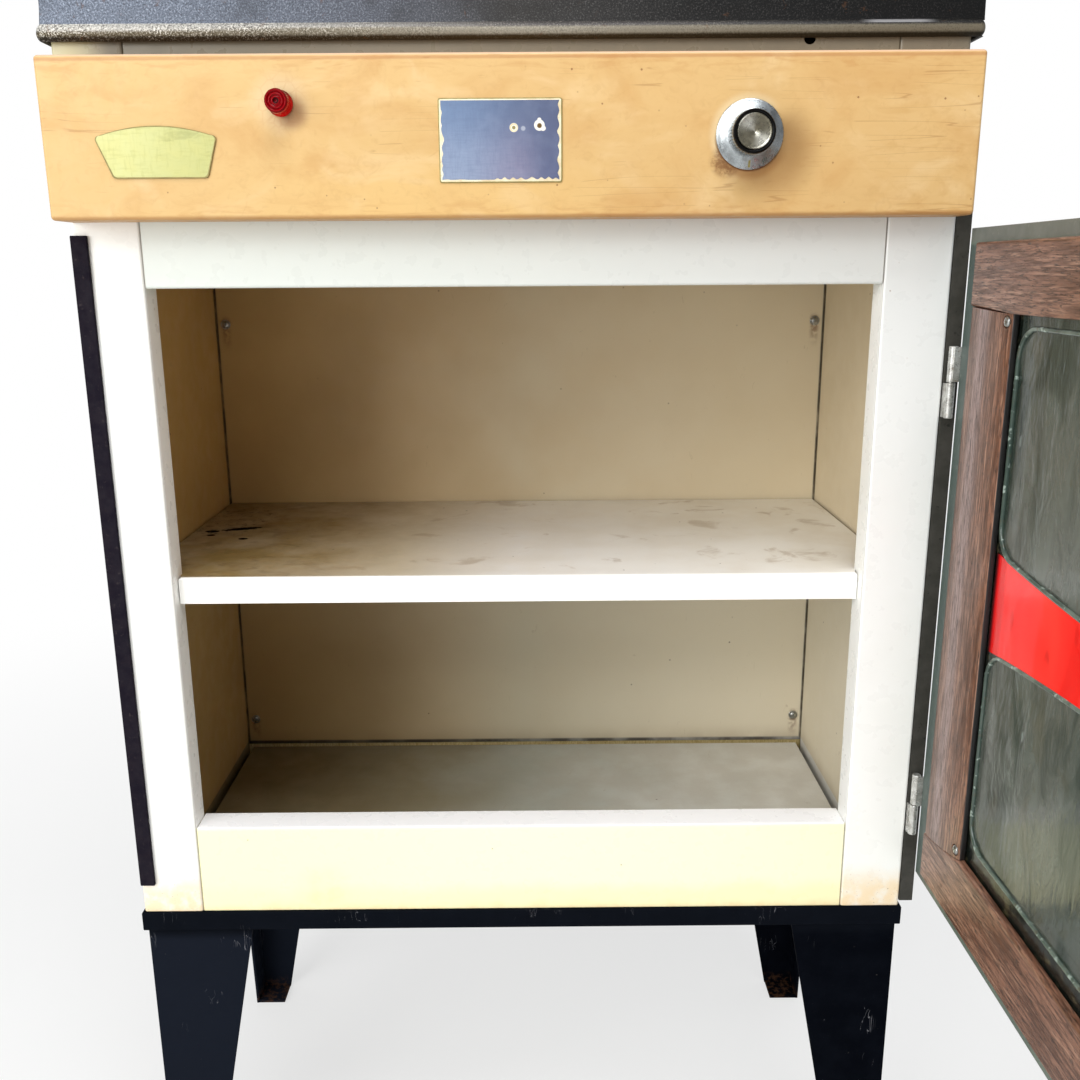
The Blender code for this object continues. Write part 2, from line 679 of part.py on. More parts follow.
def badge_outline():
    """A keystone with rounded corners under an arched top."""
    foot_left, foot_right, foot_z = -257 * MM, -195.4 * MM, 843.4 * MM
    top_left, top_right, top_z = -264 * MM, -189 * MM, 866 * MM
    foot_inset, foot_r = 3.2 * MM, 3 * MM
    top_inset, top_drop, top_r = 2.6 * MM, 1.5 * MM, 2.5 * MM
    crown, arch_steps = 6.6 * MM, 12
    points = []

    def corner(x, z, radius, start, end):
        for k in range(4):
            turn = math.radians(start + (end - start) * k / 3)
            points.append((x + radius * math.cos(turn), z + radius * math.sin(turn)))

    corner(foot_left + foot_inset, foot_z + foot_r, foot_r, 190, 270)
    corner(foot_right - foot_inset, foot_z + foot_r, foot_r, 270, 350)
    corner(top_right - top_inset, top_z - top_drop, top_r, -10, 70)
    for k in range(1, arch_steps):
        t = k / arch_steps
        points.append((
            top_right + (top_left - top_right) * t,
            top_z + crown * 4 * t * (1 - t),
        ))
    corner(top_left + top_inset, top_z - top_drop, top_r, 110, 190)
    return points


def build_plates():
    """The name badge and the rating plate on the face of the panel."""
    mesh = prism_mesh(badge_outline(), "Y", PANEL_FACE_Y - 0.9 * MM, PANEL_FACE_Y)
    place("name_badge", mesh, BADGE)
    place("rating_plate", box_mesh(
        (-46.7 * MM, 32.1 * MM), (PANEL_FACE_Y - 0.7 * MM, PANEL_FACE_Y),
        (837.7 * MM, 888.8 * MM),
    ), PLATE)


def build_lamp():
    """The pilot lamp: a lens in front of the panel and a holder through it."""
    seat = Vector((LAMP_X, PANEL_FACE_Y, LAMP_Z))
    # Radius and distance forwards from the seat.
    lens = mm_pairs(
        (0, 0), (7.6, 0), (8.0, 1), (8.0, 3), (7.2, 4), (7.2, 9), (6.9, 9.6), (7.1, 10.2),
        (7.1, 15), (6.6, 17.6), (5.2, 19.4), (2.6, 20.3), (0, 20.5),
    )
    smooth(place("lamp_lens", turned_mesh(lens, seat, "-Y", 20), RED))
    # Radius and distance backwards from the front of the panel.
    holder = mm_pairs(
        (0, 0), (5.2, 0), (5.2, 3.0), (8.5, 3.0), (8.5, 6), (5.2, 6), (5.2, 20), (3.5, 22),
        (0, 22),
    )
    holder_mesh = turned_mesh(holder, seat + mm_vector(0, 0.3, 0), "Y", 16)
    smooth(place("lamp_holder", holder_mesh, STEEL))


# ------------------------------------------------------------ thermostat
def build_knob():
    """Skirt, fluted grip, cap and shaft, which turn together."""
    # All in mm; y is measured from the front of the panel.
    skirt_y, skirt_thick, skirt_r = -0.5, 4.4, 21.2
    grip_y = skirt_y - skirt_thick - 0.3
    grip_r, flute_depth, flutes = 13.1, 0.7, 24

    profile = mm_pairs(
        (0, 0), (skirt_r, 0), (skirt_r, 1.6), (19.2, skirt_thick), (0, skirt_thick),
    )
    mesh = turned_mesh(profile, KNOB_CENTRE + mm_vector(0, skirt_y, 0), "-Y", 32)
    skirt = place("knob_skirt", mesh, ALUMINIUM, knob_pivot)
    bore = rod_mesh(KNOB_CENTRE + mm_vector(0, 2, 0), SHAFT_BORE_R, "-Y", 16 * MM)
    cut(skirt, "cut_knob_skirt", bore)
    smooth(skirt)

    rings = []
    # Distance in front of the back of the grip, and the change in radius there.
    for depth, grow in ((0, 0.0), (11.6, 0.0), (12.8, -0.7)):
        ring = []
        for k in range(flutes * 2):
            radius = (grip_r + grow - (flute_depth if k % 2 else 0.0)) * MM
            angle = 2 * math.pi * k / (flutes * 2)
            ring.append(KNOB_CENTRE + Vector((
                radius * math.cos(angle), (grip_y - depth) * MM, radius * math.sin(angle),
            )))
        rings.append(ring)
    grip = place("knob_grip", loft_mesh(rings), BAKELITE, knob_pivot)
    recess_start = KNOB_CENTRE + mm_vector(0, grip_y - 11.3, 0)
    cut(grip, "cut_grip_recess", rod_mesh(recess_start, 10.6 * MM, "-Y", 10 * MM, 24))
    bore_start = KNOB_CENTRE + mm_vector(0, grip_y + 3, 0)
    cut(grip, "cut_grip_bore", rod_mesh(bore_start, SHAFT_BORE_R, "-Y", 11 * MM))

    profile = mm_pairs((0, 0), (10.3, 0), (10.3, 1.4), (9.9, 1.8), (0, 1.8))
    mesh = turned_mesh(profile, KNOB_CENTRE + mm_vector(0, grip_y - 11.6, 0), "-Y", 24)
    smooth(place("knob_cap", mesh, ALUMINIUM, knob_pivot))
    mesh = rod_mesh(KNOB_CENTRE + mm_vector(0, 7.0, 0), 3.0 * MM, "-Y", 19.5 * MM)
    smooth(place("thermostat_shaft", mesh, STEEL, knob_pivot))


def build_thermostat_body():
    """A square block behind the panel, bored for the shaft."""
    def front_to_back(start, end):
        return abs(start.y - end.y) > MM

    half_w = 22 * MM
    body = place("thermostat_body", box_mesh(
        about(KNOB_X, half_w), (PANEL_FRONT_Y + SHEET + GAP, -GAP - 1 * MM),
        about(KNOB_Z, half_w), bevel=2 * MM, rounded=front_to_back,
    ), BAKELITE)
    start = KNOB_CENTRE + mm_vector(0, -5, 0)
    cut(body, "cut_stat_bore", rod_mesh(start, 3.4 * MM, "Y", 14 * MM))


# Centre line (x, y, z) in mm, from the thermostat body through the ceiling to the bulb.
CAPILLARY = (
    (175.0, -14, 876), (180, -13, 879), (185, -6, 880), (185, 8, 880), (184, 30, 876),
    (160, 60, 850), (142, 70, 815), (140, 70, 800), (140, 70, 789), (136, 72, 783.5),
    (124, 74, 782),
)


def build_bulb():
    path = smooth_path([mm_vector(*point) for point in CAPILLARY], 4)
    bulb = place("thermostat_bulb", tube_mesh(path, 1.2 * MM, 6), COPPER)
    join(bulb, "bulb_body", rod_mesh(mm_vector(30, 74, 782), 4 * MM, "X", 96 * MM, 10))


# ------------------------------------------------------------ wiring
# Centre line (x, y, z) in mm, from the terminal block down the right stile to the heater.
LOOM = (
    (218.5, -12, 866.4), (219, -12, 873), (229, -11, 879), (240, -5, 880), (240, 6, 880),
    (244, 11, 878), (256, 31, 868), (271, 30, 845), (276, 14, 820), (276, 11, 790),
    (276, 11, 600), (276, 11, 400), (276, 11, 315), (275, 16, 301), (272, 28, 296.6),
    (262, 60, 296.4), (240, 120, 296.4), (222, 145, 296.4), (206.5, 150, 296.4),
)


def build_wiring():
    place("terminal_block", box_mesh(
        (205 * MM, 232 * MM), (-22 * MM, -1.3 * MM), (838 * MM, 866 * MM),
    ), BAKELITE)
    path = smooth_path([mm_vector(*point) for point in LOOM], 3)
    place("wiring_loom", tube_mesh(path, 2.0 * MM, 6), FLEX)


def cord_path():
    """Out of the back, through a coil that works its way backwards, and down to the plug."""
    radius = 84 * MM
    stretch, shrink = 1.1, 0.02     # height over width, and loss of width by the end
    coil_x, coil_z = CORD_X + radius, CORD_Z + 20 * MM
    coil_y, coil_depth = 306.4 * MM, 17.5 * MM
    turns, steps = 2.5, 56
    start = math.radians(174)
    path = smooth_path([
        Vector((CORD_X, 296.5 * MM, CORD_Z)),
        Vector((CORD_X, 302 * MM, CORD_Z)),
        Vector((CORD_X - 0.5 * MM, 305.4 * MM, CORD_Z + 3 * MM)),
    ], 4)
    for k in range(steps + 1):
        angle = start - 2 * math.pi * turns * k / steps
        path.append(Vector((
            coil_x + radius * math.cos(angle) * (1 - shrink * k / steps),
            coil_y + coil_depth * k / steps,
            coil_z + radius * stretch * math.sin(angle),
        )))
    last = path[-1]
    tail = ((0, 0, -12), (2, -1, -34), (2, -3, -62))
    return path + smooth_path([last + mm_vector(*step) for step in tail], 4)


def build_power_cord():
    """The mains cord with its bush in the back panel and its two-bladed plug."""
    path = cord_path()
    cord = place("power_cord", tube_mesh(path, 3.2 * MM, 8), FLEX)
    bush = mm_pairs((0, 0), (5.6, 0), (5.6, 4.0), (9, 4.0), (9, 5.2), (0, 5.2))
    bush_start = Vector((CORD_X, BODY_DEPTH - 3.7 * MM, CORD_Z))
    join(cord, "cord_bush", turned_mesh(bush, bush_start, "Y", 16))
    plug = path[-1]
    join(cord, "plug_body", box_mesh(
        about(plug.x, 15 * MM), about(plug.y, 10 * MM), (plug.z - 26 * MM, plug.z + 3 * MM),
        bevel=3 * MM, rounded=lambda start, end: True,
    ))
    for k, offset in enumerate((-6 * MM, 6 * MM)):
        join(cord, f"plug_blade_{k}", box_mesh(
            about(plug.x + offset, 0.8 * MM), about(plug.y, 3.2 * MM),
            (plug.z - 43 * MM, plug.z - 24 * MM),
        ))


# ------------------------------------------------------------ seal and hinges
def build_seal_strip():
    """A strip on the front of the left stile."""
    place("seal_strip", box_mesh(
        (-BODY_HALF_W, -288.5 * MM), (-3.0 * MM, -GAP), (315 * MM, 807.5 * MM),
    ), RUBBER)


def build_hinge_angle():
    """An upright angle on the right side of the cabinet."""
    inner, outer = HINGE_ANGLE_X, 311 * MM
    front, flange_y, rear = 1 * MM, 2.6 * MM, 22 * MM
    angle = [
        (inner, front), (outer, front), (outer, flange_y), (inner + SHEET, flange_y),
        (inner + SHEET, rear), (inner, rear),
    ]
    place("hinge_angle", prism_mesh(angle, "Z", BASE_Z1 + 4 * MM, 830 * MM), DOOR_ENAMEL)


def build_hinge(prefix, bottom):
    """A lift-off hinge: the cabinet leaf carries the pin, the door leaf drops over it."""
    knuckle_r, pin_r = 3.1 * MM, 1.5 * MM
    knuckle_h, pin_top = HINGE_H / 2 - 0.3 * MM, HINGE_H - 8 * MM
    end_inset, mid_inset = 0.4 * MM, 0.8 * MM       # of the plates, from the knuckles' ends
    middle = bottom + HINGE_H / 2

    name = prefix + "_cabinet_leaf"
    profile = [
        (0, 0), (knuckle_r, 0), (knuckle_r, knuckle_h), (pin_r, knuckle_h),
        (pin_r, pin_top), (0, pin_top),
    ]
    mesh = turned_mesh(profile, Vector((HINGE_X, HINGE_Y, bottom)), "Z", 16)
    leaf = place(name, mesh, STEEL)
    join(leaf, "plate_" + name, box_mesh(
        (HINGE_ANGLE_X, 306.6 * MM), (HINGE_Y + 1.2 * MM, 0.7 * MM),
        (bottom + end_inset, middle - mid_inset),
    ))
    smooth(leaf)

    name = prefix + "_door_leaf"
    mesh = rod_mesh(Vector((HINGE_X, HINGE_Y, middle + 0.3 * MM)), knuckle_r, "Z", knuckle_h)
    leaf = place(name, mesh, STEEL, door_pivot)
    join(leaf, "plate_" + name, box_mesh(
        (HINGE_X - 0.6 * MM, 322 * MM), (DOOR_Y0 + GAP, DOOR_Y0 + 2.3 * MM),
        (middle + mid_inset, bottom + HINGE_H - end_inset),
    ))
    bore_start = Vector((HINGE_X, HINGE_Y, middle - 3 * MM))
    bore = rod_mesh(bore_start, pin_r + 0.25 * MM, "Z", HINGE_H / 2 - 3 * MM)
    cut(leaf, "bore_" + name, bore)
    smooth(leaf)


# ------------------------------------------------------------ door
def build_door_frame():
    """A hollow folded frame with a seat for the glass."""
    skin = 1.2 * MM
    flange = 24 * MM
    seat = GLASS_X1 + GAP
    # Edge a point is measured from, distance (inwards from the outer edge, outwards from
    # the window), and x.
    section = [
        ("outer", 0, DOOR_X1), ("outer", 0, DOOR_X0), ("outer", flange, DOOR_X0),
        ("outer", flange, DOOR_X0 + skin), ("outer", skin, DOOR_X0 + skin),
        ("outer", skin, DOOR_X1 - skin), ("window", skin, DOOR_X1 - skin),
        ("window", skin, seat + skin), ("window", GLASS_LAP, seat + skin),
        ("window", GLASS_LAP, seat), ("window", 0, seat), ("window", 0, DOOR_X1),
    ]

    def corner(point, y_sign, z_sign):
        """y_sign is -1 at the latch edge, z_sign is -1 at the bottom."""
        anchor, offset, x = point
        if anchor == "outer":
            y = DOOR_Y1 + offset if y_sign < 0 else DOOR_Y0 - offset
            z = DOOR_Z0 + offset if z_sign < 0 else DOOR_Z1 - offset
        else:
            y = PANE_Y1 - offset if y_sign < 0 else PANE_Y0 + offset
            z = PANE_Z0 - offset if z_sign < 0 else PANE_Z1 + offset
        return Vector((x, y, z))

    place("door_frame", frame_mesh(section, corner), DOOR_ENAMEL, door_pivot)


def build_glass():
    clearance = 0.4 * MM
    place("glass_pane", box_mesh(
        (GLASS_X0, GLASS_X1),
        (PANE_Y1 - GLASS_LAP + clearance, PANE_Y0 + GLASS_LAP - clearance),
        (PANE_Z0 - GLASS_LAP + clearance, PANE_Z1 + GLASS_LAP - clearance),
    ), GLASS, door_pivot)


def moulding_profile(width):
    """Half of a shallow ellipse on low shoulders: (across, height) pairs from edge to edge."""
    shoulder, crest, steps = 3.0, 6.2, 12       # heights in mm
    points = [(0.0, 0.0)]
    for k in range(steps + 1):
        angle = math.pi * k / steps
        points.append((
            width * (0.5 - 0.5 * math.cos(angle)),
            (shoulder + (crest - shoulder) * math.sin(angle)) * MM,
        ))
    points.append((width, 0.0))
    return points


def stile_mesh(outer_y, inner_y, outward):
    """An upright bar: its ends slope, because each rail is cut away towards the outside."""
    width = abs(outer_y - inner_y)
    low_ring, high_ring = [], []
    for across, height in moulding_profile(width):
        share = 1 - across / width
        x, y = WOOD_BACK_X - height, outer_y - outward * across
        low_ring.append((x, y, PANE_Z0 - BUTT_DROP_LOW * share + GAP))
        high_ring.append((x, y, PANE_Z1 + BUTT_RISE_HIGH * share - GAP))
    return loft_mesh([low_ring, high_ring], split_faces=True)


def build_door_screw(stile, name, y, z):
    """A screw in a flat-bottomed pocket in the moulding."""
    spot = Vector((WOOD_BACK_X + 6.5 * MM, y, z))
    flat_x = WOOD_BACK_X - 3.4 * MM
    cut_start = Vector((flat_x - 20 * MM, y, z))
    cut(stile, "pocket_" + name, rod_mesh(cut_start, 4.0 * MM, "X", 20 * MM, 14))
    cut(stile, "hole_" + name, rod_mesh(cut_start, 1.7 * MM, "X", 40 * MM, 10))
    shank_r, shank = 1.3 * MM, spot.x - flat_x
    profile = [
        (0, 0), (shank_r, 0), (shank_r, shank + GAP), (3.4 * MM, shank + GAP),
        (3.2 * MM, shank + 1.3 * MM), (2.0 * MM, shank + 2.3 * MM), (0, shank + 2.7 * MM),
    ]
    mesh = turned_mesh(profile, Vector((0, 0, 0)), "X", 12)
    # Half a turn points the head at the inner side of the door.
    mesh.transform(Matrix.Translation(spot) @ Matrix.Rotation(math.pi, 4, "Z"))
    smooth(place(name, mesh, STEEL, door_pivot))


def build_wood_stiles():
    edge_inset, end_inset = 6 * MM, 5 * MM      # of the screws
    for tag, outer_y, inner_y, outward in (
        ("hinge", WOOD_Y0, PANE_Y0, 1),
        ("latch", WOOD_Y1, PANE_Y1, -1),
    ):
        mesh = stile_mesh(outer_y, inner_y, outward)
        stile = place(f"wood_stile_{tag}_side", mesh, WALNUT, door_pivot)
        screw_y = inner_y + outward * edge_inset
        for height, z in (("lower", PANE_Z0 + end_inset), ("upper", PANE_Z1 - end_inset)):
            build_door_screw(stile, f"door_screw_{height}_{tag}_side", screw_y, z)
        smooth(stile, 40)


def build_wood_rail(name, outer_z, inner_z, end_shift):
    """A full-width rail; beyond the opening its inner edge slopes away by end_shift."""
    outline = [
        (WOOD_Y0, outer_z), (WOOD_Y1, outer_z), (WOOD_Y1, inner_z + end_shift),
        (PANE_Y1, inner_z), (PANE_Y0, inner_z), (WOOD_Y0, inner_z + end_shift),
    ]
    mesh = prism_mesh(outline, "X", WOOD_BACK_X - 5.4 * MM, WOOD_BACK_X)
    rail = place(name, mesh, WALNUT, door_pivot)
    bevel = rail.modifiers.new("edge", "BEVEL")
    bevel.width = 0.8 * MM
    bevel.segments = 2
    bevel.limit_method = "ANGLE"


def build_door_pull():
    """A bowed bar on the outer face with a round rose at each end."""
    pull_y, pull_z = DOOR_Y1 + 36 * MM, 567 * MM
    foot = 48 * MM                              # each end above or below the middle
    # Distance out from the door and height from the middle of the bar.
    bow = [
        (1.2 * MM, -foot), (12 * MM, -47 * MM), (18.5 * MM, -36 * MM), (PULL_OUT, 0),
        (18.5 * MM, 36 * MM), (12 * MM, 47 * MM), (1.2 * MM, foot),
    ]
    path = smooth_path([Vector((DOOR_X1 + out, pull_y, pull_z + rise)) for out, rise in bow], 4)
    pull = place("door_pull", tube_mesh(path, PULL_R, 10), ALUMINIUM, door_pivot)
    for tag, rise in (("low", -foot), ("high", foot)):
        start = Vector((DOOR_X1 + GAP, pull_y, pull_z + rise))
        join(pull, "rose_" + tag, rod_mesh(start, 8 * MM, "X", 2.4 * MM))
    smooth(pull)


# ------------------------------------------------------------ assembly
build_base_frame()
build_legs()
build_stiles()
build_header()
build_bottom_rail()
build_side_panels()
build_back_panel()
build_carcass()
build_liner_walls()
build_liner_back()
build_liner_top()
build_floor()
build_heater()
build_shelf()
build_shelf_runners()
build_insulation()
build_cover()
build_panel()
build_plates()
build_lamp()
build_knob()
build_thermostat_body()
build_bulb()
build_wiring()
build_power_cord()
build_seal_strip()
build_hinge_angle()
build_hinge("hinge_lower", 356 * MM)
build_hinge("hinge_upper", 680 * MM)
build_door_frame()
build_glass()
build_wood_stiles()
build_wood_rail("wood_rail_top", WOOD_Z1, PANE_Z1, BUTT_RISE_HIGH)
build_wood_rail("wood_rail_bottom", WOOD_Z0, PANE_Z0, -BUTT_DROP_LOW)
build_door_pull()
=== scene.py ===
"""The looks of a bench incubator: enamel, tinplate, wood, glass and turned metal around
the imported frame, with a pale floor, soft light and the camera.

Shapes are drawn in design millimetres: X = 0 is the middle of the cabinet, Y = 0 its
front plane (the back is towards +Y) and Z = 0 the floor.  The door stands open at the
right, square to the front: its width runs along -Y and its inner face looks to -X.
"""
import math

import bmesh
import bpy
from mathutils import Matrix, Vector, noise as mnoise


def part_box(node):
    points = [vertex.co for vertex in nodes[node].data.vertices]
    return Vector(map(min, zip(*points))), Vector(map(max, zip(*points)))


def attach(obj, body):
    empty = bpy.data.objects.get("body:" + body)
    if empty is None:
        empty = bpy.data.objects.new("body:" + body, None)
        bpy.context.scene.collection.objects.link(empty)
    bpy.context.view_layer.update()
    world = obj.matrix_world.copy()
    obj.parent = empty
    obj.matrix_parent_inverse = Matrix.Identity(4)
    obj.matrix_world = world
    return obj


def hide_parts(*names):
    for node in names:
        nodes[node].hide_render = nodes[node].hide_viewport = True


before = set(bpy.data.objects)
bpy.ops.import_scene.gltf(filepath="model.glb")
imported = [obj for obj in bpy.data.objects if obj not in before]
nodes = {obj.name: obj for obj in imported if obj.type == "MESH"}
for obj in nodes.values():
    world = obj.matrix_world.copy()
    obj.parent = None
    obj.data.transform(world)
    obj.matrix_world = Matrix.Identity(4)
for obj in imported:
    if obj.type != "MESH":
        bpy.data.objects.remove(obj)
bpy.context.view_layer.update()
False  # quick and full builds are the same here

panel_box, stile_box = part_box("control_panel"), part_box("left_stile")
MIDDLE_X = (panel_box[0].x + panel_box[1].x) / 2
FRONT_Y = stile_box[0].y
CABINET, DOOR, KNOB = "cabinet", "door", "knob"

# ------------------------------------------------------------ dimensions shared by sections
HALF_WIDTH = 300.0
STILE_EDGE = 253.2              # inner edge of each stile, either side of the middle
BODY_LOW, BODY_TOP = 290.3, 960.3
KNOB_X, KNOB_Z = 151.6, 866.0
LAMP_HOLE_X, LAMP_HOLE_Z = -147, 887
LENS_X, LENS_Z = -146, 886
SCREW_X, SCREW_HEIGHTS = 279, (("lower", 333), ("upper", 735))
PANE_HINGE_Y, PANE_LATCH_Y = -94.6, -521.4
PANE_LOW, PANE_TOP = 386.2, 755.4


def to_frame(x, y, z):
    """Design millimetres to the frame's metres."""
    return Vector((x / 1000 + MIDDLE_X, y / 1000 + FRONT_Y, z / 1000))


# ------------------------------------------------------------ material graphs
def rgb(*channels):
    """0 to 255 sRGB channels to a linear colour."""
    shares = [c / 255 for c in channels]
    linear = [c / 12.92 if c <= 0.04045 else ((c + 0.055) / 1.055) ** 2.4 for c in shares]
    return (*linear, 1.0)


def operator(kind, swapped=False):
    """A method that adds one Math node of two inputs."""
    def method(self, other):
        return self.look.math(kind, *((other, self) if swapped else (self, other)))
    return method


class Value:
    """A node's output.  Arithmetic with it adds nodes to its material."""

    def __init__(self, look, socket):
        self.look, self.socket = look, socket

    __add__, __radd__ = operator("ADD"), operator("ADD", True)
    __sub__, __rsub__ = operator("SUBTRACT"), operator("SUBTRACT", True)
    __mul__, __truediv__ = operator("MULTIPLY"), operator("DIVIDE")
    max = operator("MAXIMUM")

    def __abs__(self):
        return self.look.math("ABSOLUTE", self)

    def ease(self, low, high, to=(0.0, 1.0)):
        """Goes smoothly from to[0] where this is low to to[1] where it is high."""
        if low > high:
            low, high, to = high, low, to[::-1]
        inputs = {0: self, 1: low, 2: high, 3: to[0], 4: to[1]}
        return self.look.node("ShaderNodeMapRange", inputs,
                              interpolation_type="SMOOTHSTEP", clamp=True)


class Look:
    """One procedural material.  x, y, z are the point's design millimetres."""

    def __init__(self, name, colour, roughness, metallic=0.0, shine=0.5):
        self.mat = bpy.data.materials.new(name)
        self.mat.use_nodes = True
        self.tree = self.mat.node_tree
        self.bsdf = self.tree.nodes["Principled BSDF"]
        self.set("Base Color", colour)
        self.set("Roughness", roughness)
        self.set("Metallic", metallic)
        self.set("Specular IOR Level", shine)
        coord = self.node("ShaderNodeTexCoord", {})
        coord.socket = coord.socket.node.outputs["Object"]
        shifted = self.vector("SUBTRACT", coord, (MIDDLE_X, FRONT_Y, 0))
        self.point = self.vector("MULTIPLY", shifted, (1000, 1000, 1000))
        split = self.node("ShaderNodeSeparateXYZ", {0: self.point})
        self.x, self.y, self.z = (Value(self, out) for out in split.socket.node.outputs)
        self.normal = None

    def node(self, kind, inputs, output=0, **settings):
        """Adds a node and gives one output; inputs are keyed by place or name."""
        made = self.tree.nodes.new(kind)
        for key, value in settings.items():
            setattr(made, key, value)
        for key, value in inputs.items():
            self.put(made.inputs[key], value)
        return Value(self, made.outputs[output])

    def put(self, socket, value):
        """Links or sets an input; None leaves it alone."""
        if isinstance(value, Value):
            self.tree.links.new(value.socket, socket)
        elif value is not None:
            socket.default_value = rgb(*value) if socket.type == "RGBA" else value

    def set(self, name, value):
        self.put(self.bsdf.inputs[name], value)

    def math(self, operation, first, second=None):
        return self.node("ShaderNodeMath", {0: first, 1: second}, operation=operation)

    def vector(self, operation, first, second):
        return self.node("ShaderNodeVectorMath", {0: first, 1: second}, operation=operation)

    def hypot(self, first, second):
        return self.math("SQRT", first * first + second * second)

    def noise(self, size, detail=3.0, rough=0.55, distort=0.0, stretch=(1, 1, 1), shift=(0, 0, 0)):
        """Noise whose features are about size millimetres across."""
        moved = self.vector("ADD", self.point, shift)
        where = self.vector("DIVIDE", moved, tuple(size * s for s in stretch))
        return self.node("ShaderNodeTexNoise", {"Vector": where, "Scale": 1.0, "Detail": detail,
                                                "Roughness": rough, "Distortion": distort})

    def cells(self, size, feature="F1", stretch=(1, 1, 1)):
        """Distance within cells about size millimetres across, as a share of size."""
        where = self.vector("DIVIDE", self.point, tuple(size * s for s in stretch))
        return self.node("ShaderNodeTexVoronoi", {"Vector": where, "Scale": 1.0}, feature=feature)

    def mix(self, share, first, second):
        return self.node("ShaderNodeMix", {0: share, 6: first, 7: second}, output=2,
                         data_type="RGBA")

    def ramp(self, value, *stops):
        """Colours along value; each stop is (place, colour)."""
        made = self.node("ShaderNodeValToRGB", {0: value})
        bar = made.socket.node.color_ramp
        while len(bar.elements) < len(stops):
            bar.elements.new(0.5)
        for item, (place, colour) in zip(bar.elements, stops):
            item.position = place
            item.color = rgb(*colour)
        return made

    def around(self, x, z):
        """Distance from a point of the XZ plane, with its X and Z parts."""
        across, up = self.x - x, self.z - z
        return self.hypot(across, up), across, up

    def disc(self, x, z, radius, soft):
        """1 inside a round spot on the XZ plane, 0 past its soft edge."""
        return self.around(x, z)[0].ease(radius, radius + soft, to=(1, 0))

    def base(self, colour):
        self.colour = colour
        self.set("Base Color", colour)

    def paint(self, share, colour):
        """Lays a colour over the colour so far."""
        self.base(self.mix(share, self.colour, colour))

    def rough(self, size, low, high, detail=3):
        """Roughness wanders between low and high in patches of about size mm."""
        self.set("Roughness", self.noise(size, detail).ease(0.3, 0.7, to=(low, high)))

    def coat(self, weight, roughness):
        self.set("Coat Weight", weight)
        self.set("Coat Roughness", roughness)

    def bump(self, height, depth):
        """Raises the surface by height (0 to 1) times depth millimetres."""
        self.normal = self.node("ShaderNodeBump", {"Strength": 1.0, "Distance": depth / 1000,
                                                   "Height": height, "Normal": self.normal})
        self.set("Normal", self.normal)

    def grain(self, size, depth, detail=3):
        self.bump(self.noise(size, detail), depth)

    def blend(self, share, shader):
        """Mixes another shader into the surface by share."""
        surface = Value(self, self.bsdf.outputs[0])
        both = self.node("ShaderNodeMixShader", {0: share, 1: surface, 2: shader})
        self.put(self.tree.nodes["Material Output"].inputs[0], both)


def new_look(*args, **kwargs):
    look = Look(*args, **kwargs)
    return look, look.x, look.y, look.z


def orange_peel(mat, depth, size):
    """The fine dimples of sprayed enamel over a slow wander of the sheet."""
    mat.grain(size, depth, detail=2)
    mat.grain(90, 0.5, detail=2)


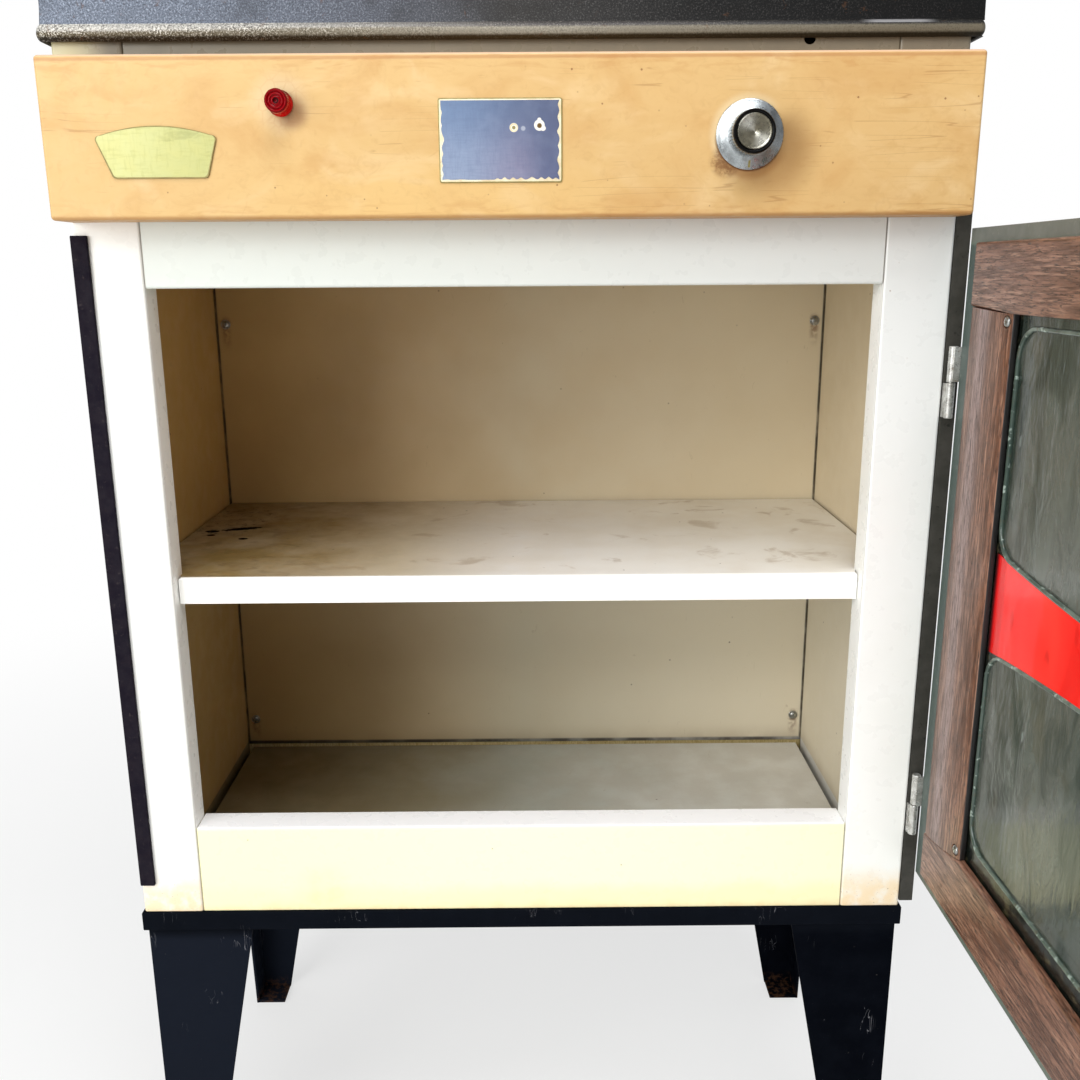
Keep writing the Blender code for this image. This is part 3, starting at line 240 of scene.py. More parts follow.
def ivory_enamel():
    mat, x, y, z = new_look("ivory_enamel", (246, 245, 238), 0.3)
    mat.base(mat.mix(mat.noise(120, rough=0.5).ease(0.35, 0.7), (252, 252, 248), (247, 247, 241)))
    # dulled header
    inner = abs(x).ease(254.4, 252.4)
    header = z.ease(764, 772) * (inner * y.ease(30, 20))
    mat.paint(header, mat.mix(x.ease(-250, 250), (226, 231, 224), (226, 228, 224)))
    # painted shade on the upper part of the right stile, which the panel above shades
    front = y.ease(44, 38)
    right = front * x.ease(252.4, 255) * z.ease(420, 800)
    mat.paint(right * 0.85, (226, 228, 226))
    # the rail is creamier, with a peach blotch and a peach lower edge; its ledge is painted pure
    # white as painted light from above
    rail = front * inner * z.ease(364, 361)
    cream_edge = (z + mat.noise(50) * 20).ease(326, 312)
    cream = mat.mix(x.ease(-240, 40), (252, 250, 201), (252, 250, 212))
    mat.paint(rail, mat.mix(cream_edge, cream, (251, 244, 194)))
    # painted light: the ledge is painted pure white where light from above falls
    painted_lit_ledge = z.ease(361.6, 362.2) * z.ease(366, 363)
    mat.paint(painted_lit_ledge * inner, (255, 255, 255))
    blotch = mat.disc(-157, 306, radius=4, soft=26)
    blotch *= mat.noise(16, rough=0.5).ease(0.3, 0.65, to=(0.2, 0.75))
    low = (z + mat.noise(22, 4) * 26).ease(311, 300)
    low *= mat.noise(14, 4, rough=0.6).ease(0.35, 0.6, to=(0.35, 1))
    mat.paint(blotch.max(low) * y.ease(30, 5, to=(0.3, 0.6)), (248, 214, 160))
    # stained feet of the stiles, where brown specks gather
    stain = y.ease(60, 40, to=(0.25, 1.0)) * abs(x).ease(252.4, 255)
    stain *= (z + mat.noise(20, 4) * 24).ease(342, 316)
    mat.paint(stain * mat.noise(10, 4).ease(0.3, 0.6, to=(0.3, 0.75)), (244, 214, 162))
    speck = mat.noise(2.6, 4, rough=0.65).ease(0.64, 0.68)
    mat.paint(speck * (stain * 0.75), (120, 78, 44))
    lone = mat.cells(17).ease(0.05, 0.03) * mat.noise(60, 2).ease(0.54, 0.6)
    mat.paint(lone * 0.55, (132, 100, 66))
    # grime lines where the stiles meet the header and the rail
    joint = abs(abs(x) - STILE_EDGE).ease(0.9, 0.2)
    mat.paint(joint * y.ease(2.0, 0.4) * 0.8, (96, 70, 44))
    # painted shade, with some browning, in the strip under the cover, which the cover shades;
    # lighter at its far left end
    top = z.ease(912, 917)
    light = mat.mix(x.ease(-250, -40), (96, 85, 61), (124, 112, 88))
    dark = mat.mix(x.ease(-250, -40), (88, 78, 54), (116, 104, 80))
    mat.paint(top * 0.92, mat.mix(mat.noise(14, 4).ease(0.3, 0.7), light, dark))
    mat.paint(top * front * x.ease(-258, -292), (198, 190, 150))
    mat.rough(14, low=0.24, high=0.4)
    orange_peel(mat, depth=0.012, size=5)
    return mat.mat


def chamber_enamel():
    mat, x, y, z = new_look("chamber_enamel", (196, 184, 154), 0.45)
    across = x.ease(-285, 285)
    # painted shade: browner and darker towards the left, where the light from the left does not
    # reach, lighter towards the right; the clouds below follow it
    mat.base(mat.ramp(across, (0, (196, 164, 104)), (0.25, (208, 184, 142)),
                      (0.5, (208, 194, 163)), (1, (218, 204, 175))))
    mat.paint(mat.noise(90).ease(0.3, 0.7, to=(0, 0.5)),
              mat.mix(across, (176, 144, 88), (212, 196, 164)))
    # the lower half is greyer, the floor greyer still; both carry painted shade, dark at the left
    # and light at the right
    mat.paint(z.ease(560, 540) * 0.5, mat.ramp(across, (0, (166, 140, 96)), (0.5, (198, 196, 178)),
                                               (1, (242, 236, 218))))
    plate = z.ease(309, 307.5) * abs(x).ease(290, 288)
    mat.paint(plate, mat.ramp(across + (mat.noise(60) - 0.5) * 0.35, (0, (108, 96, 66)),
                              (0.25, (146, 142, 120)), (0.5, (188, 195, 188)),
                              (1, (243, 244, 240))))
    # darker towards the floor and along the top of the back
    darkening = z.ease(326, 303, to=(0, 0.35)).max(z.ease(765, 796, to=(0, 0.25)))
    darkening *= mat.noise(30, 4).ease(0.25, 0.65, to=(0.5, 1))
    mat.paint(darkening, (128, 104, 66))
    # dark seams where the back meets the walls and the floor plate
    seam = y.ease(276.2, 278.0) * abs(x).ease(285.6, 286.8) * abs(x).ease(289, 288.4)
    seam = seam.max(y.ease(277, 279) * z.ease(309.6, 307.6))
    mat.paint(seam * mat.noise(26).ease(0.3, 0.6, to=(0.5, 0.9)), (44, 33, 20))
    # rust runs down below each of the four back screws
    for screw_x in (-SCREW_X, SCREW_X):
        for _, screw_z in SCREW_HEIGHTS:
            aside, below = abs(x - screw_x), screw_z + 3 - z
            run = aside.ease(6, 1) * (below.ease(-6, 2) * below.ease(30, 4))
            mat.paint(run * mat.noise(5, 4).ease(0.35, 0.6, to=(0, 0.8)), (112, 66, 34))
    speck = mat.cells(19).ease(0.06, 0.03) * mat.noise(50, 2).ease(0.5, 0.58)
    mat.paint(speck * 0.7, (86, 60, 38))
    scuff = mat.noise(7, 5, rough=0.7, distort=1.5, stretch=(1, 3, 3)).ease(0.66, 0.71)
    mat.paint(scuff * 0.25, (150, 128, 96))
    mat.rough(20, low=0.4, high=0.6)
    orange_peel(mat, depth=0.04, size=4)
    return mat.mat


# chips in the shelf's enamel: centre X and Y, half width, half length, tilt
SHELF_CHIPS = ((-270, 157, 6.5, 5, 0), (-267, 143, 4, 3.4, 0),
               (-246, 166, 18, 5.4, 0.3), (-236, 130, 4.5, 3.4, 0))


def shelf_enamel():
    mat, x, y, _ = new_look("shelf_enamel", (214, 208, 198), 0.4)
    # painted shade: dark and brown at the left, where the left stile shades the shelf, whitening
    # towards the right
    mat.base(mat.ramp(x.ease(-285, 285), (0, (132, 108, 60)), (0.12, (152, 130, 90)),
                      (0.26, (196, 182, 156)), (0.5, (236, 233, 229)), (1, (246, 244, 238))))
    mat.paint(mat.noise(60, 4).ease(0.35, 0.7, to=(0, 0.3)), (216, 204, 184))
    blot = mat.noise(34, 5, rough=0.6, distort=0.6).ease(0.58, 0.7)
    mat.paint(blot * 0.4, (150, 124, 90))
    soil = mat.noise(18, 5, rough=0.65, distort=0.8, stretch=(1.5, 1, 1), shift=(7, 70, 0))
    mat.paint(soil.ease(0.5, 0.62) * x.ease(-120, -200) * 0.45, (104, 82, 52))
    rim = abs(x).ease(285.2, 286.4).max(y.ease(276.4, 277.6))
    mat.paint(rim * 0.8, (44, 34, 22))
    # chipped through to black iron along the left side
    near = x.ease(-214, -236) * (y.ease(128, 150) * y.ease(272, 240))
    mask = near * mat.noise(5, 5, rough=0.7).ease(0.57, 0.6) * 0.6
    for chip_x, chip_y, wide, long, tilt in SHELF_CHIPS:
        ragged = (mat.noise(3.5, 4, rough=0.7, shift=(chip_x, 0, 0)) - 0.5) * 0.9
        across = x - chip_x
        along = (y - chip_y) - across * tilt
        away = mat.hypot(across / wide, along / long) + ragged
        mask = mask.max(away.ease(1.0, 0.85))
    mat.paint(mask, (16, 11, 13))
    speck = mat.cells(16).ease(0.07, 0.04) * mat.noise(50, 2).ease(0.5, 0.58)
    mat.paint(speck * 0.8, (60, 44, 32))
    # the front lip is white, clear of the painted shade
    mat.paint(y.ease(14, 11), (252, 251, 246))
    mat.rough(16, low=0.32, high=0.52)
    mat.bump(1 - mask, 0.35)
    mat.set("Specular IOR Level", (1 - mask) * 0.5)
    orange_peel(mat, depth=0.04, size=4)
    return mat.mat


def panel_enamel():
    mat, x, _, z = new_look("aged_cream_enamel", (240, 204, 141), 0.42, shine=0.35)
    mat.base(mat.mix(x.ease(-300, 300), (214, 178, 119), (213, 175, 117)))
    low = mat.disc(-40, 838, radius=30, soft=150) * z.ease(862, 834)
    mat.paint(low * 0.5, (226, 188, 122))
    # broad clouds, brushed a little sideways
    cloud = mat.noise(44, 5, rough=0.6, distort=0.8, stretch=(1.6, 1, 1)).ease(0.46, 0.68)
    mat.paint(cloud * 0.5, (199, 152, 92))
    pale = mat.noise(46, 4, rough=0.6, distort=0.8, stretch=(1.5, 1, 1), shift=(310, 0, 90))
    mat.paint(pale.ease(0.52, 0.7) * 0.5, (226, 196, 146))
    streak = mat.noise(6, 4, rough=0.6, distort=1.2, stretch=(5, 1, 1)).ease(0.46, 0.7)
    near_edge = z.ease(898, 912).max(z.ease(832, 819))
    mat.paint(streak * (0.05 + near_edge * 0.36), (190, 134, 74))
    sweep = mat.noise(12, 4, rough=0.6, distort=1.2, stretch=(2.4, 1, 1), shift=(40, 0, 200))
    mat.paint(sweep.ease(0.48, 0.68) * x.ease(180, 280) * 0.42, (196, 150, 88))
    brush = mat.noise(9, 5, rough=0.65, distort=1.6, stretch=(1.3, 1, 1), shift=(90, 0, 20))
    mat.paint(brush.ease(0.5, 0.7) * 0.22, (190, 146, 90))
    # thin, long scratches
    level = mat.noise(7, 1, rough=0.4, distort=0.3, stretch=(30, 1, 1))
    line = abs(level - 0.5).ease(0.010, 0.002)
    mat.paint(line * mat.noise(45, 2).ease(0.56, 0.6) * 0.45, (168, 122, 70))
    # a crazed pale ring round the lamp, brown painted shade at its lower right
    halo = mat.disc(LAMP_HOLE_X, LAMP_HOLE_Z, radius=9, soft=14)
    craze = mat.cells(6, "DISTANCE_TO_EDGE").ease(0.10, 0.03)
    mat.paint(halo * 0.4, (226, 206, 168))
    mat.paint(halo * craze * 0.2, (196, 140, 88))
    mat.paint(mat.disc(-139, 880, radius=4, soft=9) * 0.6, (132, 82, 44))
    # a pale ring from the knob's left to its top; painted shade and rust below it
    halo = mat.disc(KNOB_X, KNOB_Z, radius=21.5, soft=6) * (z - x).ease(705, 725)
    mat.paint(halo * 0.6, (228, 206, 164))
    shade = mat.disc(166, 856, radius=14, soft=24) * (x - z).ease(-716, -694)
    mat.paint(shade * 0.6, (136, 94, 48))
    rust = mat.disc(137, 850, radius=6.5, soft=5.5)
    rust *= mat.noise(5, 5, rough=0.75).ease(0.34, 0.6, to=(0.25, 0.9))
    smear = mat.disc(KNOB_X, KNOB_Z, radius=21.6, soft=1.4) * (z + x * 0.3).ease(908, 894)
    crescent = mat.disc(153, 862, radius=20.5, soft=4.5) * z.ease(860, 848)
    mat.paint(crescent * 0.5, (150, 100, 52))
    mat.paint(rust.max(smear) * 0.85, (112, 64, 30))
    # brown line and a pale pink painted highlight along the top edge, where its rounding catches
    # the light; darker lower edge
    edge = z.ease(911.4, 912.6) * z.ease(914.6, 913.6)
    mat.paint(edge * 0.5, (178, 120, 74))
    mat.paint(z.ease(914.3, 915.0, to=(0, 0.7)), (228, 190, 162))
    mat.paint(z.ease(819.5, 817) * 0.55, (170, 116, 66))
    speck = mat.cells(13).ease(0.07, 0.03) * mat.noise(55, 2).ease(0.48, 0.56)
    mat.paint(speck * 0.75, (128, 78, 40))
    mat.rough(10, low=0.34, high=0.52, detail=4)
    mat.grain(30, depth=0.5)
    mat.grain(2.4, depth=0.03)
    mat.bump(1 - speck, 0.1)
    return mat.mat


def tinplate():
    mat, x, _, z = new_look("tinplate", (110, 110, 110), 0.42, metallic=0.4, shine=0.22)
    across = x.ease(-300, 300)
    # painted reflection: bluish silver at the left fading to black at the right, as the metal
    # mirrors its surroundings; the specks and clouds below follow it
    mat.base(mat.ramp(across, (0, (100, 108, 122)), (0.25, (84, 88, 98)), (0.5, (58, 57, 56)),
                      (0.8, (28, 28, 28)), (1, (14, 14, 14))))
    grain = mat.noise(1.1, 5, rough=0.75)
    mat.paint(grain.ease(0.52, 0.62) * 0.6, mat.ramp(across, (0, (176, 186, 202)),
                                                     (0.5, (110, 108, 108)), (1, (60, 58, 56))))
    mat.paint(grain.ease(0.48, 0.38) * x.ease(0, -300, to=(0.35, 0.7)), (26, 26, 28))
    mat.paint(mat.noise(26, 4, rough=0.6).ease(0.5, 0.7) * 0.4,
              mat.ramp(across, (0, (60, 62, 68)), (0.5, (44, 42, 40)), (1, (14, 14, 14))))
    wall = mat.colour
    # the rolled bead: a painted highlight on top, tan on its face, painted shade below
    crest_highlight = mat.ramp(across, (0, (182, 179, 172)), (0.5, (78, 74, 73)), (1, (12, 12, 13)))
    face = mat.ramp(across, (0, (94, 84, 64)), (0.5, (146, 140, 126)), (1, (110, 102, 86)))
    underside_shade = mat.ramp(across, (0, (36, 27, 12)), (0.5, (50, 38, 14)), (1, (26, 22, 8)))
    mat.base(face)
    left_crest_highlight = z.ease(932.4, 935.0) * x.ease(-100, -250)
    mat.paint(left_crest_highlight + z.ease(934.2, 936.0) * x.ease(-250, -100), crest_highlight)
    mat.paint(z.ease(931.6, 929.6), underside_shade)
    # spangle specks on the bead, brighter on top and at the left as painted highlight
    spot = mat.noise(1.0, 4, rough=0.75, shift=(5, 9, 40))
    calm = x.ease(-40, -200, to=(0.42, 1.0)) * mat.noise(22).ease(0.35, 0.6, to=(0.55, 1.0))
    bright = mat.ramp(across, (0, (240, 236, 226)), (0.5, (190, 184, 172)), (1, (112, 106, 94)))
    mat.paint(spot.ease(0.53, 0.6) * z.ease(929, 933, to=(0.2, 0.85)) * calm, bright)
    mat.paint(spot.ease(0.48, 0.42) * 0.85 * calm, (30, 22, 10))
    glint = z.ease(936.0, 936.7) * mat.disc(250, 937, radius=13, soft=14)
    mat.paint(glint * 0.4, (206, 204, 206))
    mat.paint(z.ease(938.0, 938.6), wall)
    # the top is dull and dusty
    dust = mat.mix(mat.noise(60, 4).ease(0.35, 0.65), (128, 126, 122), (150, 146, 138))
    dust = mat.mix(grain.ease(0.5, 0.66) * 0.4, dust, (174, 174, 172))
    mat.paint(z.ease(960.4, 961.4), dust)
    rust = mat.noise(9, 5, rough=0.7, distort=0.6, shift=(50, 20, 9)).ease(0.62, 0.7) * 0.5
    mat.paint(rust, (96, 62, 36))
    mat.set("Metallic", (1 - rust) * 0.2)
    mat.set("Roughness", grain.ease(0.3, 0.7, to=(0.34, 0.5)) + rust * 0.4)
    mat.bump(grain, 0.1)
    mat.grain(60, depth=0.9, detail=2)
    return mat.mat


def black_enamel():
    mat, x, _, z = new_look("black_enamel", (14, 17, 23), 0.6, shine=0.01)
    # painted shade: the legs are lighter at the left and darker at the right, away from the light
    shaded_legs = mat.ramp(x.ease(-300, 300), (0, (23, 27, 36)), (0.35, (16, 20, 28)),
                    (0.8, (6, 8, 14)), (1, (5, 7, 13)))
    mat.base(mat.mix(z.ease(262, 272), shaded_legs, (12, 15, 21)))
    mat.paint(mat.noise(22, 4).ease(0.35, 0.7) * 0.2, (20, 24, 32))
    chip = mat.noise(5, 5, rough=0.75).ease(0.70, 0.72)
    mat.paint(chip * 0.6, (96, 92, 88))
    level = mat.noise(10, 2, rough=0.5, distort=1.4, stretch=(1, 1, 5))
    scratch = abs(level - 0.5).ease(0.005, 0.001)
    mat.paint(scratch * mat.noise(34, 2).ease(0.6, 0.66) * 0.6, (140, 140, 146))
    foot = z.ease(16, 2) * mat.noise(5, 4, rough=0.7).ease(0.45, 0.6)
    mat.paint(foot * 0.6, (84, 58, 40))
    mat.rough(12, low=0.38, high=0.6, detail=4)
    mat.bump(1 - chip, 0.15)
    mat.grain(2.2, depth=0.05)
    return mat.mat


def walnut(name, along):
    """Grain runs along Y or Z."""
    mat, x, y, _ = new_look(name, (132, 92, 72), 0.4)
    stretch, wide, short = ((1, s, 1) if along == "Y" else (1, 1, s) for s in (18, 7, 8))
    mat.base(mat.mix(mat.noise(8, distort=0.6, stretch=wide).ease(0.34, 0.66),
                     (100, 62, 42), (146, 102, 80)))
    light = mat.noise(2.4, 4, rough=0.6, distort=0.2, stretch=stretch, shift=(9, 9, 9))
    mat.paint(light.ease(0.5, 0.66) * 0.6, (184, 142, 118))
    if along == "Z":
        # a mauve painted highlight down each crest, the sheen of the rounded moulding; darker
        # streaks towards the glass
        for centre in (-56, -562):
            wavy = y + mat.noise(9, rough=0.5, stretch=wide) * 9
            band = abs(wavy - (centre + 4.5)).ease(15, 3)
            mat.paint(band * 0.66, (160, 138, 136))
        inner = y.ease(-66, -76) * y.ease(-96, -90)
        dark = mat.noise(2.6, 4, rough=0.6, distort=0.3, stretch=short).ease(0.48, 0.6)
        mat.paint(inner * dark * 0.6, (76, 42, 24))
    fibre = mat.noise(1.2, 4, rough=0.65, distort=0.3, stretch=stretch)
    mat.paint(fibre.ease(0.47, 0.58) * 0.72, (72, 42, 28))
    pores = mat.noise(0.9, rough=0.6, stretch=short).ease(0.59, 0.64)
    mat.paint(pores * 0.8, (46, 28, 20))
    # a pale line along the hinge-side edge, and painted shadow on the inner side face where a
    # stile meets the glass
    if along == "Z":
        mat.paint(y.ease(-94.1, -94.5) * y.ease(-95, -94.8), (8, 6, 5))
    worn = y.ease(-32.4, -31.5) if along == "Z" else y.ease(-32.0, -31.3)
    mat.paint(worn * x.ease(306.5, 305.5) * 0.85, (228, 220, 208))
    mat.set("Roughness", fibre.ease(0.3, 0.7, to=(0.3, 0.5)))
    mat.bump(fibre, 0.12)
    mat.bump(1 - pores, 0.2)
    mat.coat(weight=0.25, roughness=0.3)
    return mat.mat


def door_enamel():
    mat, _, y, z = new_look("door_enamel", (96, 108, 98), 0.38)
    mat.base(mat.mix(mat.noise(30, 4).ease(0.3, 0.7), (92, 104, 95), (110, 121, 108)))
    band = y.ease(-33, -30) * z.ease(799, 796)
    mat.paint(band * 0.85, (66, 80, 76))
    mat.paint(z.ease(798, 801) * 0.7, (112, 112, 106))
    mat.paint(mat.noise(7, 5, rough=0.75).ease(0.62, 0.66) * 0.5, (136, 140, 130))
    mat.paint(mat.cells(11).ease(0.08, 0.04) * 0.7, (58, 46, 38))
    mat.rough(12, low=0.3, high=0.5)
    mat.grain(2.6, depth=0.05)
    mat.grain(70, depth=0.6, detail=2)
    return mat.mat


def window_glass():
    mat, x, y, z = new_look("window_glass", (88, 94, 87), 0.12, shine=0.45)
    # two greys meet along a slow wavy line, with lens-shaped seeds in patches
    tall = (1, 1, 2.6)
    wave = mat.noise(62, 2, rough=0.45, distort=0.5, stretch=tall, shift=(20, 11, 40))
    mat.base(mat.ramp(wave, (0.38, (50, 60, 53)), (0.47, (54, 64, 57)), (0.50, (84, 90, 83)),
                      (0.62, (92, 96, 89))))
    soft = mat.noise(16, rough=0.5, distort=0.7, stretch=(1, 1, 2.4))
    # painted highlights of the wavy glass in the lighter patches, with darker patches besides
    mat.paint(soft.ease(0.52, 0.66) * 0.4, (112, 119, 111))
    mat.paint(soft.ease(0.46, 0.34) * 0.5, (40, 50, 43))
    brown = mat.noise(20, 4, rough=0.6, distort=0.6, stretch=(1, 1, 1.8), shift=(0, 60, 9))
    mat.paint(brown.ease(0.58, 0.68) * 0.35, (88, 80, 54))
    seed = mat.cells(26, stretch=tall)
    few = mat.noise(40, 1, shift=(0, 17, 5)).ease(0.5, 0.56)
    mat.paint(seed.ease(0.16, 0.12) * few * 0.7, (62, 70, 66))
    mat.paint(seed.ease(0.08, 0.05) * few * 0.8, (136, 144, 138))
    fine = mat.noise(5, rough=0.5, distort=0.4, stretch=(1, 1, 2))
    # seen from outside the figure is calmer and the red band shows through
    outer = x.ease(309.3, 309.8)
    mat.paint(outer * 0.6, (70, 78, 72))
    aside = (y + 308) / 205
    bow = 1 - aside * aside
    above = (z - (540 + bow * 11)).ease(0, 1.5)
    below = ((607 - bow * 13.2) - z).ease(0, 1.5)
    mat.paint(outer * 0.9 * (above * below), (168, 16, 14))
    # shadow of the wood along the hinge side and the bottom
    shade = (1 - outer) * y.ease(-98.5, -96.5).max(z.ease(400, 397))
    patch = mat.noise(9, 4, rough=0.6, distort=0.4, stretch=(1, 1, 0.6)).ease(0.56, 0.66)
    mat.paint(shade * 0.92, mat.mix(patch, (14, 19, 16), (84, 78, 56)))
    mat.coat(weight=0.25, roughness=0.08)
    mat.set("Roughness", fine.ease(0.3, 0.7, to=(0.12, 0.26)))
    mat.bump(wave, 2.4)
    mat.bump(soft, 0.9)
    mat.bump(fine, 0.25)
    clear = mat.node("ShaderNodeBsdfTransparent", {})
    clear.socket.node.inputs[0].default_value = (0.55, 0.62, 0.57, 1)
    mat.blend(0.2, clear)
    return mat.mat


def glass_rim():
    mat, _, y, _ = new_look("moulded_glass_rim", (112, 128, 119), 0.16)
    mat.base(mat.mix(mat.noise(12).ease(0.3, 0.7), (66, 82, 74), (104, 118, 108)))
    upright = y.ease(-112, -104).max(y.ease(-508, -516))
    mat.paint(upright * 0.75, (38, 56, 48))
    mat.paint(mat.noise(7, 4, rough=0.6).ease(0.56, 0.66) * 0.5, (84, 74, 52))
    mat.paint(mat.noise(6, shift=(3, 3, 60)).ease(0.58, 0.66) * 0.7, (170, 186, 176))
    mat.coat(weight=0.4, roughness=0.12)
    mat.grain(6, depth=0.3)
    return mat.mat


def red_flash():
    mat, _, y, _ = new_look("red_flashed_glass", (246, 60, 54), 0.2, shine=0.15)
    wave = mat.noise(44, 2, rough=0.45, distort=0.6, stretch=(1, 1, 2.4))
    mat.base(mat.ramp(wave, (0.36, (214, 14, 10)), (0.47, (226, 20, 16)), (0.5, (238, 34, 28)),
                      (0.6, (240, 50, 40)), (0.72, (242, 66, 48))))
    # paler towards the hinge side, then dark in the shadow of the wood
    wavy = y + mat.noise(30, 2, rough=0.5, distort=0.5, stretch=(1, 1, 2)) * 24
    mat.paint(wavy.ease(-150, -143) * 0.6, (240, 58, 58))
    seed = mat.cells(24, stretch=(1, 1, 2.6)).ease(0.2, 0.12)
    mat.paint(seed * mat.noise(40, 1).ease(0.48, 0.56) * 0.6, (196, 8, 10))
    mat.paint(y.ease(-113.5, -109) * 0.85, (206, 12, 14))
    mat.paint(y.ease(-102, -97) * 0.95, (30, 2, 4))
    # painted light: the band glows a little, standing in for daylight coming through the red glass
    mat.set("Emission Color", mat.colour)
    mat.set("Emission Strength", 0.26)
    mat.coat(weight=0.15, roughness=0.15)
    mat.bump(wave, 1.2)
    return mat.mat


def red_plastic():
    mat, _, y, _ = new_look("red_lens", (170, 8, 16), 0.14, shine=0.1)
    away, across, up = mat.around(LENS_X, LENS_Z)
    # painted light and shade on the lens's side: dark red at the upper left, bright red at the
    # lower right
    side = mat.mix((across - up).ease(-2, 9), (88, 0, 4), (196, 2, 8))
    mat.base(mat.mix(away.ease(1.0, 2.6), (18, 0, 2), (118, 0, 6)))
    rings = mat.math("SINE", away * 3.4).ease(0.3, 0.95)
    mat.paint(rings * 0.4, (168, 4, 14))
    mat.paint(y.ease(-43.6, -42.6), side)
    mat.set("Subsurface Weight", 0.1)
    mat.set("Subsurface Radius", (0.003, 0.0006, 0.0006))
    mat.rough(3, low=0.12, high=0.24)
    mat.grain(1.2, depth=0.04, detail=2)
    return mat.mat


def badge_foil():
    mat, x, _, z = new_look("badge_foil", (240, 238, 160), 0.42, shine=0.35)
    mat.base(mat.mix(x.ease(-260, -192), (206, 206, 142), (190, 191, 128)))
    mat.paint(mat.noise(16, 4).ease(0.35, 0.7, to=(0, 0.4)), (206, 200, 124))
    for stretch in ((7, 1, 1), (1, 1, 6)):
        brushed = mat.noise(1.6, 4, rough=0.6, distort=0.2, stretch=stretch, shift=(4, 4, 70))
        mat.paint(brushed.ease(0.5, 0.68) * 0.22, (166, 166, 94))
    worn = mat.noise(7, 4, rough=0.65, distort=0.6, stretch=(3, 1, 1), shift=(8, 0, 4))
    where = x.ease(-236, -212) * z.ease(850, 860)
    mat.paint(worn.ease(0.46, 0.62) * where * 0.45, (150, 152, 92))
    mat.rough(5, low=0.34, high=0.5)
    mat.grain(1.1, depth=0.05)
    return mat.mat


def olive_line():
    mat = Look("olive_line", (118, 106, 52), 0.5)
    mat.base(mat.mix(mat.noise(5).ease(0.3, 0.7), (134, 122, 66), (156, 144, 84)))
    mat.grain(1, depth=0.03, detail=2)
    return mat.mat


def plate_base():
    mat = Look("plate_base", (240, 226, 190), 0.42)
    mat.base(mat.mix(mat.noise(9, 4).ease(0.35, 0.7), (244, 234, 204), (228, 208, 164)))
    mat.paint(mat.noise(2.5, 5, rough=0.7).ease(0.6, 0.68) * 0.5, (166, 132, 84))
    mat.grain(1.2, depth=0.04)
    return mat.mat


def blue_film():
    mat, x, _, z = new_look("plate_foil", (136, 150, 182), 0.4)
    across, up = x.ease(-46, 32), z.ease(838, 888)
    upper = mat.mix(across, (111, 133, 166), (86, 95, 124))
    lower = mat.mix(across.ease(0, 0.75), (142, 156, 182), (134, 132, 158))
    lower = mat.mix(across.ease(0.7, 1.0), lower, (92, 99, 130))
    mat.base(mat.mix(up, lower, upper))
    for stretch in ((9, 1, 1), (1, 1, 9)):
        weave = mat.noise(0.9, rough=0.6, stretch=stretch, shift=(3, 3, 30)).ease(0.46, 0.62)
        mat.paint(weave * 0.14, (92, 104, 138))
    mat.paint(mat.noise(14, rough=0.5).ease(0.45, 0.7) * 0.08, (172, 184, 208))
    mat.paint(mat.noise(3.2, 5, rough=0.7).ease(0.64, 0.72) * 0.3, (116, 104, 122))
    # a pale chip with a tail and a brown heart, the rivet's surround, one faint spot
    pale = (244, 240, 228)
    mat.paint(mat.disc(17.55, 872.3, radius=3.1, soft=0.5), pale)
    tail = mat.disc(19.9, 870.6, radius=1.5, soft=0.5) * (x + z).ease(893.6, 891.8)
    mat.paint(tail, pale)
    mat.paint(mat.disc(17.55, 875.6, radius=0.9, soft=0.6), pale)
    mat.paint(mat.disc(17.6, 872.0, radius=1.2, soft=0.6), (104, 76, 26))
    mat.paint(mat.disc(1.3, 870.9, radius=2.5, soft=0.4), (244, 240, 230))
    mat.paint(mat.disc(1.3, 870.9, radius=0.9, soft=0.5), (150, 138, 88))
    mat.paint(mat.disc(7.25, 870.4, radius=1.0, soft=0.8) * 0.5, (206, 210, 220))
    mat.set("Metallic", 0.1)
    mat.rough(6, low=0.32, high=0.46)
    mat.grain(5, depth=0.12)
    mat.grain(0.9, depth=0.03, detail=2)
    return mat.mat


def aluminium(name, tone, spun=None):
    """Turned metal.  spun is the strength of the painted highlight rays round the knob's axis; it
    also turns on the rings.
    """
    mat = Look(name, tone, 0.3, metallic=1.0)
    mat.base(mat.mix(mat.noise(5, 4, rough=0.6).ease(0.35, 0.7), tone,
                     tuple(int(v * 0.82) for v in tone)))
    mat.paint(mat.noise(2.2, 5, rough=0.7).ease(0.6, 0.7) * 0.5, (120, 106, 84))
    if spun:
        away, across, up = mat.around(KNOB_X, KNOB_Z)
        rings = mat.node("ShaderNodeTexNoise", {"W": away * 5.0, "Scale": 1.0, "Detail": 4},
                         noise_dimensions="1D")
        mat.bump(rings, 0.05)
        # painted highlight and shade: spun metal spreads each highlight into a pair of opposite
        # rays, painted here as light and dark rays
        turn = mat.math("ARCTAN2", up, across)
        rays = 0.5 + mat.math("COSINE", (turn - 2.3) * 2.0) * 0.5
        rays = mat.math("POWER", rays, 2.0)
        mat.paint(rays * spun, (250, 248, 236))
        mat.paint((1 - rays) * (spun * 0.8), (112, 104, 84))
    mat.rough(3, low=0.2, high=0.38)
    mat.grain(1.0, depth=0.03)
    return mat.mat


